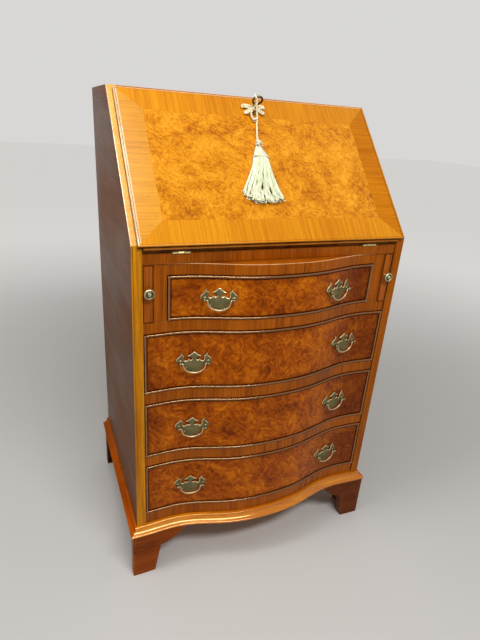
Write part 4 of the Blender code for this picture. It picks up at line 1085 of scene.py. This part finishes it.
placed(ring, KEY @ Matrix.Translation((0, 0, RING_OFF)))
piece("ring_key", joined([shank, bit, ring]), [key_steel_and_shade], ["key"], "key_body", 50)


# The drawers: each front a burr-veneered board bent to the serpentine, framed by a thin walnut cock bead
# with a rounded nose, on a box of plain lining timber. The top drawer is shorter, between the lopers.

CLEAR, BEAD = 0.0012, 0.0045
NOSE, FACE_BACK = -0.191, -0.168
lining = wood_finish(
    "drawer_lining", (206, 164, 108), (160, 114, 66), 0.5, "Y", (0.1, 0.4, 1.2), pores=0.3, rubbed=0.3,
    coat=0.0)
bead_finish = wood_finish(
    "cock_bead_walnut", (104, 42, 4), (62, 20, 0), along="X", rubbed=0.1, coat=0.0, gloss=0.75, ior=2.1,
    dullness=0.42, tint=(255, 212, 158), relief=0.04)
# A dark burr for a ring inside each bead: painted shade in the corner by the bead, and old dirt there.
bead_shade_and_grime = burr_finish("shade_and_grime_by_the_bead", (122, 56, 6), (92, 36, 2), (58, 18, 0), 0.7, 0.035, 0.2, coat=0.1)


def bead_bar(left, right, low, high):
    """One strip of cock bead with its two front edges rounded into a nose."""
    level = right - left > high - low
    shape = block((left, NOSE, low), (right, FACE_BACK, high), SLICES if level else 0)
    ease(shape, 0.0021, 5, lambda edge: (
        all(vert.co.y < NOSE + 0.0001 for vert in edge.verts) and spans(edge) == level))
    return bend(shape)


def drawer(number, shift):
    """The front and the cock bead of one drawer, and the finish of its box."""
    slide = "drawer_%d" % number
    half, low, high = OPENINGS[number]
    outer, bead_low, bead_high = half - CLEAR, low + CLEAR, high - CLEAR
    bars = [bead_bar(*ends) for ends in (
        (-outer, outer, bead_low, bead_low + BEAD), (-outer, outer, bead_high - BEAD, bead_high),
        (-outer, BEAD - outer, bead_low, bead_high), (outer - BEAD, outer, bead_low, bead_high))]
    piece(slide + "_bead", joined(bars), [bead_finish], [slide + "_cock_bead"], slide, 60)
    rim = BEAD + 0.0003
    face = ease(block(
        (rim - outer, FRONT, bead_low + rim), (outer - rim, FACE_BACK, bead_high - rim), SLICES), 0.0005)
    face.normal_update()
    # The 2.2 mm ring inside the bead takes the dark burr of painted shade and dirt.
    for part in inset(face, [part for part in face.faces if part.normal.y < -0.9], 0.0022, even=True):
        part.material_index = 1
    veneer = burr_finish(
        slide + "_burr", (218, 122, 12), (170, 80, 2), (108, 38, 0), 0.7, 0.035, 0.2, shift=shift, coat=0.08,
        wax_and_shade_panel=((0, 0, (low + high) / 2), (half, 1, (high - low) / 2)))
    piece(slide + "_veneered_front", bend(face), [veneer, bead_shade_and_grime], [slide + "_front"], slide)
    dress(slide + "_box", lining)


for number, shift in ((1, (0.2, 0.4, 0.1)), (2, (1.3, 0.1, 0.6)), (3, (0.7, 1.2, 0.3)), (4, (2.1, 0.8, 1.4))):
    drawer(number, shift)


# The pulls: cast brass batwing plates, fretted round the neck of the middle lobe, with a painted highlight
# on the edges that face up and to the left, two ball-headed posts and a swelling bail hung between them.

PLATE_LONG, PLATE_THICK = 0.069, 0.0009
POST_X, POST_UP, POST_OUT = 0.027, -0.002, 0.0086
BAIL_HALF, BAIL_DROP = 0.0208, 0.0156
PLATE = mm((
    (0, 19.6), (2.2, 18.4), (5, 15.6), (9, 12.9), (12.9, 11), (12.1, 9.8), (9.6, 8.9), (6.8, 8.3),
    (4.5, 7), (3.7, 5.2), (4.5, 3.3), (6.7, 2.2), (8.9, 3), (10.3, 5.1), (11.7, 2.7), (14.4, 0.6),
    (17.2, 0.2), (19.3, 2.2), (19.8, 6), (19.5, 10.4), (22.4, 13.6), (24.9, 18), (25.6, 12.6), (28.6, 9.4),
    (32.6, 5.8), (34.4, 2.6), (34, -1.2), (31.6, -4.2), (27.6, -6), (23.6, -6.2), (20.8, -8.2), (17.9, -9.2),
    (16.2, -10.9), (16, -13), (16.7, -15.8), (14.3, -16.9), (12.5, -19), (9.3, -21.2), (4.8, -22.5),
    (0, -23)))
POST = (
    (0, 0), (4.6, 0), (4.6, 0.8), (3, 2), (2.4, 3), (2.4, 4.5), (3, 5.2), (3.5, 6.8), (3.5, 8.6),
    (2.8, 10.3), (1.4, 11.1), (0, 11.3))
BAIL_END = mm(((26.6, 0), (24, 0), (22.4, -0.3), (21.3, -1.3), (20.8, -3.9)))
pull_brass = metal_finish("pull_brass", (128, 118, 80), (180, 160, 112), 0.3)
# A pale brass for the plate's upper-left rim faces, a painted highlight.
brass_edge_highlight = metal_finish("brass_edge_highlight", (255, 226, 176), (255, 240, 206), 0.5)
post_brass = metal_finish("post_brass", (118, 106, 70), (190, 172, 126), 0.3)
bail_brass = metal_finish("bail_brass", (150, 124, 80), (255, 236, 190), 0.9)


def pull_frame(x, z):
    """Where a plate sits on the curved front: X along it and Y into the drawer."""
    nudge = PLATE_LONG / 8
    lean = atan2(serpentine(x - nudge) - serpentine(x + nudge), 2 * nudge)
    spots = [Vector((x + nudge * share, FRONT - serpentine(x + nudge * share), z)) for share in range(-4, 5)]
    outward = Vector((sin(lean), -cos(lean), 0))
    stand = max((spot - spots[4]).dot(outward) for spot in spots)
    return Matrix.Translation(spots[4] + outward * (stand + 0.0003)) @ Matrix.Rotation(lean, 4, "Z")


def pull(slide, side_name, x, z):
    """One plate with its posts, and its bail."""
    place = pull_frame(x, z)
    name = "%s_%s_" % (slide, side_name)
    corners = [(out, 0, up) for out, up in PLATE]
    plate = slab(corners + [(-out, y, up) for out, y, up in corners[-2:0:-1]], (0, -PLATE_THICK, 0))
    # Rim faces that look up and to the left take the pale brass as a painted highlight.
    for width, depth in ((0.0009, 0.0007), (0.0003, 0)):
        rim = inset(plate, [biggest(plate, (0, -1, 0))], width, depth, True)
        plate.normal_update()
        for part in rim:
            if depth and part.normal.dot(Vector((-0.5, 0, 0.87))) > 0.1:
                part.material_index = 1
    posts = [
        mark(turned(POST, Matrix.Translation((side * POST_X, -0.0015, POST_UP)) @ FORWARD, 16), 2)
        for side in (-1, 1)]
    piece(
        name + "batwing", placed(joined([plate, *posts]), place), [pull_brass, brass_edge_highlight, post_brass],
        [name + "plate"], slide, 50)
    axis = place @ Matrix.Translation((0, -POST_OUT, POST_UP))
    arc = [(BAIL_HALF * cos(angle), -0.0039 - BAIL_DROP * sin(angle)) for angle in angles(48, 23)[1:]]
    line = BAIL_END + arc + [(-out, up) for out, up in reversed(BAIL_END)]
    middle = (len(line) - 1) / 2
    route = [
        (axis @ Vector((out, 0, up)), 0.62 + 0.38 * (1 - abs(step / middle - 1)) ** 0.6)
        for step, (out, up) in enumerate(line)]
    piece(
        name + "swan_bail", threads([route], 0.0017, 3), [bail_brass], [name + "bail"],
        name + "bail_body", 50)


for number, x in ((1, 0.128), (2, 0.169), (3, 0.169), (4, 0.169)):
    for side, side_name in SIDES:
        pull("drawer_%d" % number, side_name, side * x, sum(OPENINGS[number][1:]) / 2)


# The pigeonholes: a fitted unit of thin walnut partitions behind the fall, two wide openings under four
# narrow ones, which show only when the bureau is open.

dress("pigeonhole_unit", wood_finish(
    "pigeonhole_walnut", (186, 122, 52), (126, 72, 26), along="X", shift=(0.6, 0.2, 0.5)), 0.0009)
